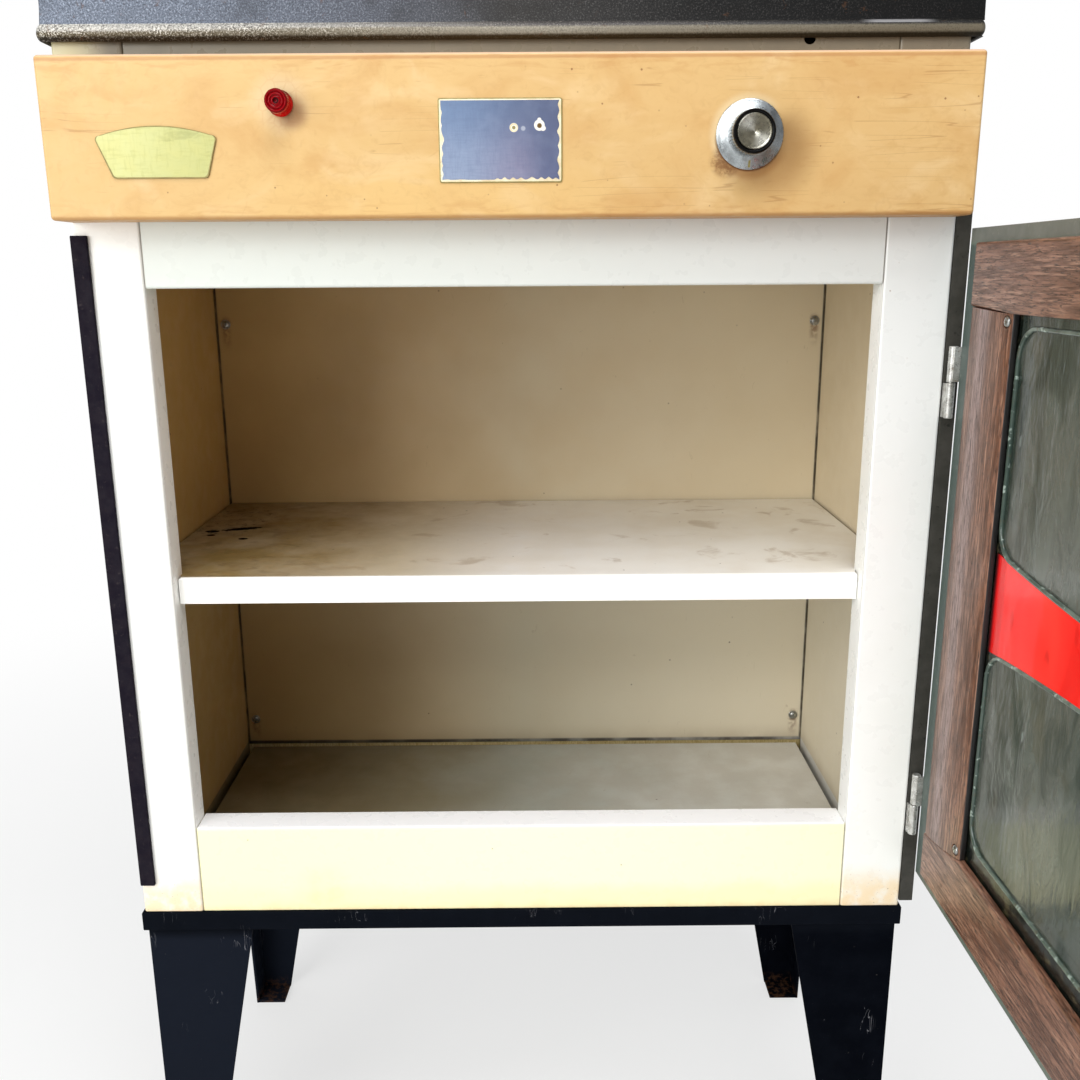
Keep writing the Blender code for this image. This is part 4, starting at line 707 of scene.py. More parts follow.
def plain(name, colour, second, third=None, roughness=0.4, metallic=0.0, size=8.0, depth=0.05,
          grain=1.5, shine=0.5):
    """Two tones in clouds of size, a third in specks, with a fine grain."""
    mat = Look(name, colour, roughness, metallic, shine)
    mat.base(mat.mix(mat.noise(size, 4, rough=0.6).ease(0.35, 0.68), colour, second))
    if third:
        mat.paint(mat.noise(size * 0.4, 5, rough=0.7).ease(0.6, 0.68) * 0.7, third)
    mat.rough(size * 0.7, low=roughness * 0.75, high=roughness * 1.3)
    mat.grain(grain, depth)
    return mat.mat


def mineral_wool():
    mat = Look("mineral_wool", (200, 180, 120), 0.95)
    fibre = mat.noise(1.5, 5, rough=0.7, distort=2.0, stretch=(1, 1, 6))
    mat.base(mat.mix(fibre.ease(0.35, 0.65), (182, 158, 98), (222, 204, 150)))
    mat.bump(fibre, 0.8)
    mat.grain(12, depth=1.5)
    return mat.mat


def flex(name, colour, second):
    mat, x, y, z = new_look(name, colour, 0.55)
    strands = mat.math("SINE", x * 2.1 + (y * 1.7 + z * 2.3))
    mat.base(mat.mix(mat.noise(9, 4).ease(0.3, 0.7), colour, second))
    mat.rough(5, low=0.42, high=0.65)
    mat.bump(strands, 0.05)
    mat.grain(0.8, depth=0.04, detail=2)
    return mat.mat


IVORY, CHAMBER, SHELF = ivory_enamel(), chamber_enamel(), shelf_enamel()
PANEL, TIN, BLACK = panel_enamel(), tinplate(), black_enamel()
WOOD_Y, WOOD_Z = walnut("walnut_rails", "Y"), walnut("walnut_stiles", "Z")
DOOR_PAINT, GLASS, RIM = door_enamel(), window_glass(), glass_rim()
RED_BAND, RED_LENS, BADGE = red_flash(), red_plastic(), badge_foil()
OLIVE, PLATE_BASE, FILM = olive_line(), plate_base(), blue_film()
SKIRT_METAL = aluminium("skirt_aluminium", (176, 184, 190), spun=0.3)
CAP_METAL = aluminium("cap_aluminium", (176, 171, 152), spun=0.75)
PULL_METAL = aluminium("pull_aluminium", (190, 192, 190))
BAKELITE = plain("bakelite", (6, 6, 6), (10, 9, 8), (20, 18, 16), roughness=0.22, size=6,
                 depth=0.03, grain=1.2, shine=0.12)
ZINC = plain("zinc_steel", (178, 180, 178), (140, 140, 136), (118, 92, 66), roughness=0.34,
             metallic=1.0, size=4, depth=0.04, grain=0.9)
RUBBER = plain("seal_rubber", (24, 20, 30), (31, 26, 34), (56, 50, 52), roughness=0.75, size=9,
               depth=0.12, grain=1.6, shine=0.08)
MICA = plain("heater_mica", (150, 140, 120), (176, 166, 146), (98, 84, 66), roughness=0.55,
             metallic=0.1, size=14, depth=0.08, grain=3)
COPPER = plain("copper", (184, 115, 72), (140, 84, 56), (92, 112, 96), roughness=0.32,
               metallic=1.0, size=5, depth=0.03, grain=1.2)
BRASS = plain("brass", (196, 166, 96), (160, 132, 74), (96, 78, 44), roughness=0.3,
              metallic=1.0, size=4, depth=0.02, grain=1.0)
WOOL = mineral_wool()
FLEX = flex("flex", (27, 27, 28), (44, 42, 42))
LOOM = flex("loom_flex", (36, 34, 34), (58, 52, 48))
IRON_STRIP = plain("hinge_side_strip", (56, 55, 50), (66, 64, 59), (20, 19, 18), roughness=0.5,
                   size=12, depth=0.06, grain=2.4, shine=0.2)
HINGE_METAL = plain("hinge_metal", (214, 214, 210), (170, 168, 162), (140, 112, 80),
                    roughness=0.3, metallic=0.7, size=6, depth=0.03, grain=1.0)

# ------------------------------------------------------------ shape helpers
home = bpy.context.scene.collection


def smooth(mesh, angle):
    mesh.shade_smooth()
    mesh.set_sharp_from_angle(angle=math.radians(angle))


def emit(name, shape, *materials, angle=32):
    """Turns a bmesh drawn in design millimetres into an object in the frame."""
    bmesh.ops.recalc_face_normals(shape, faces=shape.faces)
    for vert in shape.verts:
        vert.co = to_frame(*vert.co)
    mesh = bpy.data.meshes.new(name)
    shape.to_mesh(mesh)
    shape.free()
    for item in materials:
        mesh.materials.append(item)
    smooth(mesh, angle)
    made = bpy.data.objects.new(name, mesh)
    home.objects.link(made)
    return made


def carve(obj, *shapes, operation="DIFFERENCE", angle=32):
    """Cuts shapes out of an object, or joins them to it, and applies the result."""
    others = [emit("carving", shape, obj.data.materials[0]) for shape in shapes]
    for other in others:
        modifier = obj.modifiers.new("carve", "BOOLEAN")
        modifier.operation = operation
        modifier.solver = "EXACT"
        modifier.object = other
    graph = bpy.context.evaluated_depsgraph_get()
    graph.update()
    mesh = bpy.data.meshes.new_from_object(obj.evaluated_get(graph),
                                           preserve_all_data_layers=True, depsgraph=graph)
    obj.modifiers.clear()
    obj.data = mesh
    smooth(mesh, angle)
    for other in others:
        bpy.data.objects.remove(other, do_unlink=True)
    return obj


def round_edges(obj, width, segments, limit):
    """Rounds edges sharper than limit degrees."""
    modifier = obj.modifiers.new("round_edges", "BEVEL")
    modifier.width = width / 1000
    modifier.segments = segments
    modifier.limit_method = "ANGLE"
    modifier.angle_limit = math.radians(limit)
    modifier.harden_normals = True
    return obj


def bevel(shape, edges, offset, segments):
    bmesh.ops.bevel(shape, geom=edges, offset=offset, segments=segments, profile=0.5,
                    affect="EDGES")


def box(xs, ys, zs, rounding=0.0, chosen=None, segments=4):
    """A box; chosen tells from its two ends whether an edge is rounded."""
    shape = bmesh.new()
    bmesh.ops.create_cube(shape, size=1)
    for vert in shape.verts:
        vert.co = Vector([pair[c > 0] for pair, c in zip((xs, ys, zs), vert.co)])
    if rounding:
        edges = [e for e in shape.edges if chosen is None or chosen(*(v.co for v in e.verts))]
        bevel(shape, edges, rounding, segments)
    return shape


def skin(shape, rings, bands=None):
    """Faces between neighbouring rings; a ring may be one point.  bands are material slots."""
    for i, (ring, after) in enumerate(zip(rings, rings[1:])):
        count = max(len(ring), len(after))
        for k in range(count):
            n = (k + 1) % count
            if len(ring) == 1:
                corners = (ring[0], after[n], after[k])
            elif len(after) == 1:
                corners = (ring[k], ring[n], after[0])
            else:
                corners = (ring[k], ring[n], after[n], after[k])
            face = shape.faces.new(corners)
            face.material_index = bands[i] if bands else 0


def loft(loops, bands=None):
    """A closed body through loops of points."""
    shape = bmesh.new()
    rings = [[shape.verts.new(point) for point in loop] for loop in loops]
    skin(shape, rings, bands)
    shape.faces.new(rings[0])
    shape.faces.new(rings[-1][::-1])
    return shape


def prism(outline, axis, low, high, parts=1):
    at = {"X": lambda p, t: (t, p[0], p[1]), "Y": lambda p, t: (p[0], t, p[1]),
          "Z": lambda p, t: (p[0], p[1], t)}[axis]
    stations = [low + (high - low) * i / parts for i in range(parts + 1)]
    return loft([[at(point, station) for point in outline] for station in stations])


SPINS = {"Z": Matrix.Identity(3), "-Y": Matrix.Rotation(math.pi / 2, 3, "X"),
         "Y": Matrix.Rotation(-math.pi / 2, 3, "X"), "X": Matrix.Rotation(math.pi / 2, 3, "Y"),
         "-X": Matrix.Rotation(-math.pi / 2, 3, "Y")}


def turned(profile, centre, axis, steps, flute=None, bands=None):
    """(radius, height) pairs spun about an axis, from radius 0 to radius 0.

    flute gives the depth cut into a ring, from its index and the angle."""
    shape = bmesh.new()
    centre = Vector(centre)
    rings = []
    for i, (radius, height) in enumerate(profile):
        ring = []
        for k in range(steps if radius else 1):
            angle = 2 * math.pi * k / steps
            reach = radius - (flute(i, angle) if flute else 0)
            arm = Vector((reach * math.cos(angle), reach * math.sin(angle), height))
            ring.append(shape.verts.new(centre + SPINS[axis] @ arm))
        rings.append(ring)
    skin(shape, rings, bands)
    return shape


def rod(radius, length, centre, axis, steps):
    return turned([(0, 0), (radius, 0), (radius, length), (0, length)], centre, axis, steps)


def tube(points, radius, sides, closed=False):
    """A round tube; radius may be a function of the share of the way along."""
    shape = bmesh.new()
    count = len(points)
    rings, side = [], None
    turns = [2 * math.pi * k / sides for k in range(sides)]
    for i, point in enumerate(points):
        before = points[i - 1] if (closed or i) else points[0]
        after = points[(i + 1) % count] if (closed or i < count - 1) else points[-1]
        ahead = (after - before).normalized()
        if side is None:
            side = ahead.orthogonal().normalized()
        side = (side - ahead * side.dot(ahead)).normalized()
        up = ahead.cross(side)
        reach = radius(i / (count - 1)) if callable(radius) else radius
        rings.append([shape.verts.new(point + reach * (math.cos(t) * side + math.sin(t) * up))
                      for t in turns])
    if closed:
        # the side vector turns on the way round, so the last ring is matched to the first
        first, last = rings[0], rings[-1]

        def gap(shift):
            return sum((last[k].co - first[(k + shift) % sides].co).length for k in range(sides))

        shift = min(range(sides), key=gap)
        rings.append([first[(k + shift) % sides] for k in range(sides)])
    skin(shape, rings)
    if not closed:
        shape.faces.new(rings[0][::-1])
        shape.faces.new(rings[-1])
    return shape


def smooth_path(corners, steps):
    """A Catmull-Rom curve through the corners."""
    ends = [corners[0]] + list(corners) + [corners[-1]]
    path = []
    for before, here, there, after in zip(ends, ends[1:], ends[2:], ends[3:]):
        for k in range(steps):
            t = k / steps
            path.append(0.5 * ((2 * here) + (there - before) * t
                               + (2 * before - 5 * here + 4 * there - after) * t * t
                               + (3 * here - before - 3 * there + after) * t ** 3))
    return path + [corners[-1]]


def arc(across, up, radius, start, end, count):
    """count points of an arc about (across, up), from start to end degrees."""
    angles = [math.radians(start + (end - start) * k / (count - 1)) for k in range(count)]
    return [(across + radius * math.cos(a), up + radius * math.sin(a)) for a in angles]


def rounded_rectangle(low, high, radius, count):
    """Four corner arcs of count points, from the (+, +) corner round."""
    (x0, y0), (x1, y1) = low, high
    return (arc(x1 - radius, y1 - radius, radius, 0, 90, count)
            + arc(x0 + radius, y1 - radius, radius, 90, 180, count)
            + arc(x0 + radius, y0 + radius, radius, 180, 270, count)
            + arc(x1 - radius, y0 + radius, radius, 270, 360, count))


SHEET = 1.5  # thickness of the folded sheet


def folded(path, bend, side, steps):
    """The outline of a folded sheet.  path is its outer face, bend the radius of its
    corners; side is 1 where the sheet lies left of the path, -1 where it lies right."""
    points = [Vector(p) for p in path]
    samples = []
    for i, here in enumerate(points):
        if i in (0, len(points) - 1):
            along = (points[1] - here) if i == 0 else (here - points[-2])
            along.normalize()
            samples.append((here, Vector((-along.y, along.x))))
            continue
        arriving = (here - points[i - 1]).normalized()
        leaving = (points[i + 1] - here).normalized()
        turn = math.atan2(arriving.x * leaving.y - arriving.y * leaving.x, arriving.dot(leaving))
        sign = 1 if turn > 0 else -1
        start = here - arriving * bend * math.tan(abs(turn) / 2)
        centre = start + Vector((-arriving.y, arriving.x)) * bend * sign
        for k in range(steps + 1):
            spot = centre + Matrix.Rotation(turn * k / steps, 2) @ (start - centre)
            samples.append((spot, (centre - spot).normalized() * sign))
    outer = [tuple(spot) for spot, _ in samples]
    inner = [tuple(spot + normal * SHEET * side) for spot, normal in samples]
    return outer + inner[::-1]


def place(obj, body, node=None, slot=None):
    """Tells the frame which body a piece rides on and which node it stands in for."""
    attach(obj, body)
    if node:
        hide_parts(node)


# ------------------------------------------------------------ CAD nodes that stay
# node names, finish, edge rounding, segments
KEPT = (
    ("base_frame", BLACK, 0.9, 4),
    ("leg_front_left leg_front_right leg_rear_left leg_rear_right", BLACK, 0.7, 4),
    ("left_side_panel right_side_panel back_panel", IVORY, 0.45, 3),
    ("carcass_bottom carcass_top liner_left liner_right liner_top liner_back chamber_floor "
     "shelf_runner_left shelf_runner_right", CHAMBER, 0.35, 3),
    ("heater_plate", MICA, 0.3, 3),
    ("insulation_blanket", WOOL, 0, 0),
    ("thermostat_body", BAKELITE, 0.3, 3),
    ("terminal_block", BAKELITE, 0.6, 3),
    ("lamp_holder thermostat_shaft", ZINC, 0, 0),
    ("wiring_loom", LOOM, 0, 0),
    ("seal_strip", RUBBER, 0.8, 4),
    ("hinge_angle", IRON_STRIP, 0.4, 3),
    ("door_frame", DOOR_PAINT, 0.45, 3),
)
for names, material, rounding, segments in KEPT:
    for node in names.split():
        obj = nodes[node]
        obj.data.materials.clear()
        obj.data.materials.append(material)
        if rounding:
            weld = obj.modifiers.new("weld", "WELD")
            weld.merge_threshold = 0.00001
            round_edges(obj, rounding, segments, limit=35)

# ------------------------------------------------------------ front of the cabinet
FILL_EDGE = 252.9               # half width of the header and the rail
HEADER_LOW, RAIL_TOP = 772.2, 362.5
HEADER_HOLES = ((4, 185, 880), (5, 240, 880), (3.9, 194.3, 928.3))  # radius, X, Z

for name, side in (("left_stile", -1), ("right_stile", 1)):
    path = [(side * STILE_EDGE, 22), (side * STILE_EDGE, 0),
            (side * HALF_WIDTH, 0), (side * HALF_WIDTH, 22)]
    outline = folded(path, bend=2.4, side=side, steps=7)
    stile = emit(name + "_sheet", prism(outline, "Z", BODY_LOW, BODY_TOP, parts=12), IVORY)
    place(round_edges(stile, 0.4, 3, limit=60), CABINET, name, "ivory_enamel")

path = [(20, HEADER_LOW), (0, HEADER_LOW), (0, BODY_TOP), (20, BODY_TOP)]
outline = folded(path, bend=2.2, side=-1, steps=7)
header = emit("header_sheet", prism(outline, "X", -FILL_EDGE, FILL_EDGE, parts=10), IVORY)
carve(header, *(rod(radius, 12, (x, -5, z), "Y", 32) for radius, x, z in HEADER_HOLES))
place(header, CABINET, "header_board", "ivory_enamel")

path = [(0.5, BODY_LOW), (0.5, RAIL_TOP), (27, RAIL_TOP), (27, 305)]
outline = folded(path, bend=2.6, side=-1, steps=8)
rail = emit("bottom_rail_sheet", prism(outline, "X", -FILL_EDGE, FILL_EDGE, parts=10), IVORY)
place(round_edges(rail, 0.4, 3, limit=60), CABINET, "bottom_rail", "ivory_enamel")

# ------------------------------------------------------------ control panel
PANEL_FRONT, PANEL_LOW, PANEL_TOP = -29.5, 816, 916
PANEL_WALL = 1.5


def at_front(one, two):
    return min(one.y, two.y) < -20


panel = emit("control_panel_shell",
             box((-HALF_WIDTH, HALF_WIDTH), (PANEL_FRONT, -0.3), (PANEL_LOW, PANEL_TOP),
                 2.6, at_front, segments=7), PANEL)
carve(panel,
      box((-HALF_WIDTH + PANEL_WALL, HALF_WIDTH - PANEL_WALL), (PANEL_FRONT + PANEL_WALL, 5),
          (PANEL_LOW + PANEL_WALL, PANEL_TOP - PANEL_WALL), 1.6, at_front, segments=5),
      rod(5.6, 12, (LAMP_HOLE_X, PANEL_FRONT - 5, LAMP_HOLE_Z), "Y", 40),
      rod(4.5, 12, (KNOB_X, PANEL_FRONT - 5, KNOB_Z), "Y", 40))
place(panel, CABINET, "control_panel", "aged_cream_enamel")


def badge_outline(inset):
    """A keystone with rounded corners under an arched top."""
    left, right, foot = -257.2 + inset, -194.2 - inset, 841.6 + inset
    top_left, top_right, top = -265.6 + inset, -188.4 - inset, 866.6
    crown = 6.8 - inset * 0.9
    points = arc(left + 3.2, foot + 3, 3, 190, 270, 8)
    points += arc(right - 3.2, foot + 3, 3, 270, 350, 8)
    points += arc(top_right - 2.6, top - 1.5, 2.5, -10, 70, 8)
    for k in range(1, 24):
        t = k / 24
        points.append((top_right + (top_left - top_right) * t, top + crown * 4 * t * (1 - t)))
    return points + arc(top_left + 2.6, top - 1.5, 2.5, 110, 190, 8)


def stepped_plate(outlines, bands):
    """A thin plate through (outline, y) pairs, from its back edge to its field."""
    return loft([[(x, y, z) for x, z in outline] for outline, y in outlines], bands)


# inset, Y
BADGE_STEPS = ((0, -29.8), (0, -30.45), (0.15, -30.62), (0.8, -30.66), (0.95, -30.6),
               (1.2, -30.62))
shape = stepped_plate([(badge_outline(inset), y) for inset, y in BADGE_STEPS], [1, 1, 1, 0, 0])
place(emit("name_badge_plate", shape, BADGE, OLIVE), CABINET, "name_badge", "badge_foil")

PLATE_X0, PLATE_X1, PLATE_Z0, PLATE_Z1 = -46.7, 32.1, 837.7, 888.8
# inset, corner radius, Y
PLATE_STEPS = ((0, 1.4, -29.8), (0, 1.4, -30.1), (0.15, 1.3, -30.2), (0.6, 1.1, -30.22),
               (0.7, 1.0, -30.26))
shape = stepped_plate([(rounded_rectangle((PLATE_X0 + inset, PLATE_Z0 + inset),
                                          (PLATE_X1 - inset, PLATE_Z1 - inset), radius, 6), y)
                       for inset, radius, y in PLATE_STEPS], [1, 1, 1, 1])
place(emit("rating_plate_base", shape, PLATE_BASE, OLIVE), CABINET, "rating_plate", "plate_foil")

# bites out of the film's edges: place along the edge, depth, width
LEFT_BITES = ((864.0, 1.7, 3.2), (880, 0.7, 1.6), (872.5, 0.5, 1.2), (855.5, 0.9, 1.8),
              (848.5, 0.6, 1.2), (843, 0.8, 1.5))
RIGHT_BITES = ((884.5, 1.0, 2.0), (877, 1.2, 2.6), (868.5, 1.5, 2.2), (860, 1.0, 2.0),
               (851.5, 1.4, 3.0), (843.5, 1.1, 1.8))
BOTTOM_BITES = ((-42, 0.4, 2), (-33, 0.3, 3), (-9.5, 0.9, 1.3), (-5, 1.5, 1.5),
                (0.5, 1.3, 1.4), (5.6, 1.2, 1.6), (12.6, 1.6, 2.0), (18.6, 1.4, 1.4),
                (23.4, 1.6, 1.5), (27.8, 1.1, 1.2))


def film_outline():
    """Clean along the top, bitten at both ends, worn to scallops along the bottom."""
    x0, x1, z0, z1 = PLATE_X0 + 1.7, PLATE_X1 - 1.8, PLATE_Z0 + 1.8, PLATE_Z1 - 1.5

    def bitten(at, bites):
        return sum(deep * math.exp(-((at - spot) / wide) ** 2) for spot, deep, wide in bites)

    def ragged(at, row):
        return 0.14 * mnoise.noise(Vector((at, row, 0)))

    points = []
    for k in range(130):
        x = x0 + (x1 - x0) * k / 130
        points.append((x, z0 + bitten(x, BOTTOM_BITES) + ragged(x * 1.3, 3.1)))
    for k in range(60):
        z = z0 + (z1 - z0) * k / 60
        points.append((x1 - bitten(z, RIGHT_BITES) + ragged(z * 1.4, 4.7), z))
    for k in range(12):
        points.append((x1 + (x0 - x1) * k / 12, z1))
    for k in range(60):
        z = z1 + (z0 - z1) * k / 60
        points.append((x0 + bitten(z, LEFT_BITES) + ragged(z * 1.4, 2.7), z))
    return points


film = emit("rating_plate_film", prism(film_outline(), "Y", -30.42, -30.27), FILM)
place(film, CABINET, "rating_plate", "plate_foil")
RIVET = [(0, 0), (2.6, 0), (2.6, 0.12), (2.35, 0.2), (1.9, 0.2), (1.6, 0.1), (1.3, 0.08),
         (0, 0.08)]
rivet = emit("rating_plate_rivet", turned(RIVET, (1.3, -30.3, 870.9), "-Y", 32),
             PLATE_BASE, OLIVE)
place(rivet, CABINET, "rating_plate", "plate_foil")

# ------------------------------------------------------------ pilot lamp
# radius, height off the panel
LENS = [(0, 0), (7.6, 0), (8.0, 0.5), (8.0, 2.8), (7.7, 3.5), (7.2, 4.0), (7.3, 7), (7.0, 7.5),
        (7.25, 8.0), (7.25, 13.6), (7.05, 14.3), (6.4, 14.8), (5.9, 14.7), (5.5, 14.2),
        (5.1, 13.9), (4.7, 14.2), (4.2, 14.5), (3.8, 14.4), (3.4, 14.0), (3.0, 13.8),
        (2.5, 14.1), (2.0, 14.3), (1.6, 14.1), (1.2, 13.6), (0.6, 13.4), (0, 13.35)]
lens = emit("lamp_lens_ribbed", turned(LENS, (LENS_X, -29.8, LENS_Z), "-Y", 56), RED_LENS,
            angle=50)
place(lens, CABINET, "lamp_lens", "red_lens")

# ------------------------------------------------------------ thermostat knob
SKIRT_Y = PANEL_FRONT - 0.5
GRIP_Y = PANEL_FRONT - 5.2
BORE = 3.2
CONE_FOOT, CONE_TOP = (20.4, 1.5), (14.9, 4.1)  # radius, height
SKIRT = [(0, 0), (21.3, 0), (21.5, 0.2), (21.5, 1.0), (21.1, 1.35), CONE_FOOT, CONE_TOP,
         (14.4, 4.4), (0, 4.4)]
skirt = emit("knob_skirt_cone", turned(SKIRT, (KNOB_X, SKIRT_Y, KNOB_Z), "-Y", 72), SKIRT_METAL)
carve(skirt, rod(BORE, 16, (KNOB_X, PANEL_FRONT + 2, KNOB_Z), "-Y", 32))
place(skirt, KNOB, "knob_skirt", "turned_aluminium")


def cone_height(radius):
    slope = (CONE_TOP[1] - CONE_FOOT[1]) / (CONE_FOOT[0] - CONE_TOP[0])
    return CONE_FOOT[1] + (CONE_FOOT[0] - radius) * slope


# a small bar let into the cone below the grip
shape = bmesh.new()
corners = []
for lift in (0.14, -0.2):
    for aside, radius in ((-0.65, 16.0), (0.65, 16.0), (0.65, 20.2), (-0.65, 20.2)):
        spot = (KNOB_X + aside, SKIRT_Y - cone_height(radius) - lift, KNOB_Z - radius)
        corners.append(shape.verts.new(spot))
for face in ((0, 1, 2, 3), (7, 6, 5, 4), (0, 4, 5, 1), (1, 5, 6, 2), (2, 6, 7, 3), (3, 7, 4, 0)):
    shape.faces.new([corners[i] for i in face])
place(emit("knob_index_mark", shape, OLIVE), KNOB)

FLUTES, FLUTE_DEPTH = 44, 0.45
# radius, height, fluted, material slot of the band that ends here
GRIP = [(0, 8.0, 0, 0), (BORE, 8.0, 0, 0), (BORE, 0, 0, 0), (13.4, 0, 0, 0), (13.9, 0.4, 1, 0),
        (13.75, 4.5, 1, 0), (13.4, 9.2, 1, 0), (12.7, 9.6, 0, 0), (12.7, 9.9, 0, 1),
        (13.35, 10.2, 0, 1), (13.4, 11.9, 0, 1), (13.1, 12.6, 0, 1), (12.6, 12.8, 0, 1),
        (11.8, 12.7, 0, 1), (11.3, 12.3, 0, 1), (11.1, 11.3, 0, 1), (0, 11.3, 0, 1)]


def grip_flute(i, angle):
    return GRIP[i][2] * FLUTE_DEPTH * (0.5 - 0.5 * math.cos(FLUTES * angle))


shape = turned([row[:2] for row in GRIP], (KNOB_X, GRIP_Y, KNOB_Z), "-Y", FLUTES * 4,
               grip_flute, [row[3] for row in GRIP[1:]])
place(emit("knob_grip_knurled", shape, SKIRT_METAL, BAKELITE, angle=40), KNOB, "knob_grip",
      "bakelite")
CAP = [(0, 0), (10.85, 0), (10.85, 1.1), (10.7, 1.5), (10.4, 1.62), (10.0, 1.5), (9.5, 1.35),
       (8.8, 1.25), (5.0, 1.12), (1.2, 1.05), (0.9, 0.9), (0, 0.85)]
cap = emit("knob_cap_spun", turned(CAP, (KNOB_X, GRIP_Y - 11.6, KNOB_Z), "-Y", 72), CAP_METAL,
           angle=40)
place(cap, KNOB, "knob_cap", "turned_aluminium")

# ------------------------------------------------------------ cover on top
COVER_HALF_X, COVER_HALF_Y, COVER_MID_Y = 307.0, 157.0, 150.0
CORNER_POINTS, SIDE_PARTS = 10, 36


def cover_ring(inset, z, lean):
    """One rounded rectangle.  lean pulls it in further at the left."""
    half_x, half_y = COVER_HALF_X - inset, COVER_HALF_Y - inset
    corners = rounded_rectangle((-half_x, COVER_MID_Y - half_y), (half_x, COVER_MID_Y + half_y),
                                max(4.6 - inset, 1.4), CORNER_POINTS)
    # the wall above the bead is pushed out at the right
    push = 1.7 if 2.3 < inset < 3.0 else 0.0
    points = [(x + (lean if x < 0 else 0.0) + (push if x > 250 else 0.0), y)
              for x, y in corners]
    # the sides get extra points so that the sheet can wander
    full = []
    for i, (x, y) in enumerate(points):
        full.append((x, y))
        if (i + 1) % CORNER_POINTS == 0:
            next_x, next_y = points[(i + 1) % len(points)]
            for k in range(1, SIDE_PARTS):
                t = k / SIDE_PARTS
                full.append((x + (next_x - x) * t, y + (next_y - y) * t))
    return [wandered(x, y, z, 0.4 if inset < 3.7 else 0.0) for x, y in full]


def wandered(x, y, z, amount):
    """The old sheet wanders inwards a little between its corners."""
    wander = abs(mnoise.noise(Vector((x * 0.012, y * 0.012, 5.0))) * amount)
    back = y - COVER_MID_Y
    out_x = math.copysign(1, x) if abs(x) > COVER_HALF_X - 30 else 0
    out_y = math.copysign(1, back) if abs(back) > COVER_HALF_Y - 30 else 0
    return (x - out_x * wander, y - out_y * wander, z - 0.3 * wander)


# inset, Z, lean: up the inside, round the bead, up the wall and over the top
section = [(60, 960.6, 0), (7.0, 960.6, 0), (4.4, 959.8, 0), (3.8, 957.5, 0), (3.8, 950, 0),
           (3.8, 939, 0), (3.8, 928.4, 0)]
for k in range(15):
    angle = math.radians(-82 + 152.5 * k / 14)
    section.append((3.6 - 3.6 * math.cos(angle), 933.05 + 5.25 * math.sin(angle), 0))
section += [(2.4, 938.5, 0.0), (2.5, 940, 0.1), (2.6, 945, 0.5), (2.7, 950, 0.8),
            (2.7, 957.6, 0.8)]
for k in range(1, 9):
    angle = math.radians(90 * k / 8)
    section.append((6.7 - 4.0 * math.cos(angle), 957.9 + 4.0 * math.sin(angle), 0.8))
section += [(12, 961.95, 0), (60, 961.8, 0)]
shape = loft([cover_ring(*station) for station in section])
place(emit("top_cover_beaded", shape, TIN, angle=45), CABINET, "top_cover", "tinplate")

# ------------------------------------------------------------ shelf
NOSE_HALF, SHELF_HALF = 252.4, 287.0
SHELF_FRONT, SHOULDER_Y, SHELF_BACK = 10, 24.7, 278.3
SHELF_LOW, SHELF_TOP = 543.0, 563.0
SHELF_WALL = 1.2


def at_shelf_top(one, two):
    return min(one.z, two.z) > SHELF_TOP - 3


outline = [(-NOSE_HALF, SHELF_FRONT), (NOSE_HALF, SHELF_FRONT), (NOSE_HALF, SHOULDER_Y),
           (SHELF_HALF, SHOULDER_Y), (SHELF_HALF, SHELF_BACK), (-SHELF_HALF, SHELF_BACK),
           (-SHELF_HALF, SHOULDER_Y), (-NOSE_HALF, SHOULDER_Y)]
shape = prism(outline, "Z", SHELF_LOW, SHELF_TOP)
bevel(shape, [e for e in shape.edges if min(v.co.z for v in e.verts) > SHELF_TOP - 0.1], 2.4, 6)
shelf = emit("shelf_pan", shape, SHELF)
hollow = (SHELF_LOW - 5, SHELF_TOP - SHELF_WALL)
pan_x, nose_x = SHELF_HALF - SHELF_WALL, NOSE_HALF - SHELF_WALL
cuts = [box((-pan_x, pan_x), (SHOULDER_Y + SHELF_WALL, SHELF_BACK - SHELF_WALL), hollow,
            1.3, at_shelf_top),
        box((-nose_x, nose_x), (SHELF_FRONT + SHELF_WALL, SHOULDER_Y + 6), hollow, 1.3,
            lambda one, two: at_shelf_top(one, two) and max(one.y, two.y) < 20)]
# the skirt is shallower at both sides, behind the nose
for side in (-1, 1):
    xs = sorted((side * (SHELF_HALF + 5), side * (NOSE_HALF + 0.5)))
    cuts.append(box(xs, (SHOULDER_Y - 5, SHELF_BACK + 5), (SHELF_LOW - 5, SHELF_TOP - 12)))
place(carve(shelf, *cuts), CABINET, "shelf", "chamber_enamel")

# ------------------------------------------------------------ screws on the back of the chamber
BACK_Y, HEAD_HEIGHT = 286.3, 10.0
SCREW_HEAD = [(0, 0), (2, 0), (2, 7.3), (4.4, 7.3), (4.5, 7.4), (4.5, 7.8), (4.3, 7.95),
              (3.3, 8.0), (3.3, 8.5), (3.15, 9.1), (2.6, 9.6), (1.6, 9.9), (0, HEAD_HEIGHT)]
for side, hand in ((-1, "left"), (1, "right")):
    for level, z in SCREW_HEIGHTS:
        name, x = f"liner_screw_{level}_{hand}", side * SCREW_X
        screw = emit(name + "_head", turned(SCREW_HEAD, (x, BACK_Y, z), "-Y", 36), ZINC)
        slot = box((-4, 4), (-0.45, 0.45), (-1.0, 1.0))
        turn = Matrix.Rotation(0.6 + side * 0.5 + z * 0.01, 3, "Z")
        for vert in slot.verts:
            spun = turn @ vert.co
            vert.co = Vector((x + spun.x, BACK_Y - HEAD_HEIGHT + spun.z, z + spun.y))
        place(carve(screw, slot), CABINET, name, "zinc_steel")

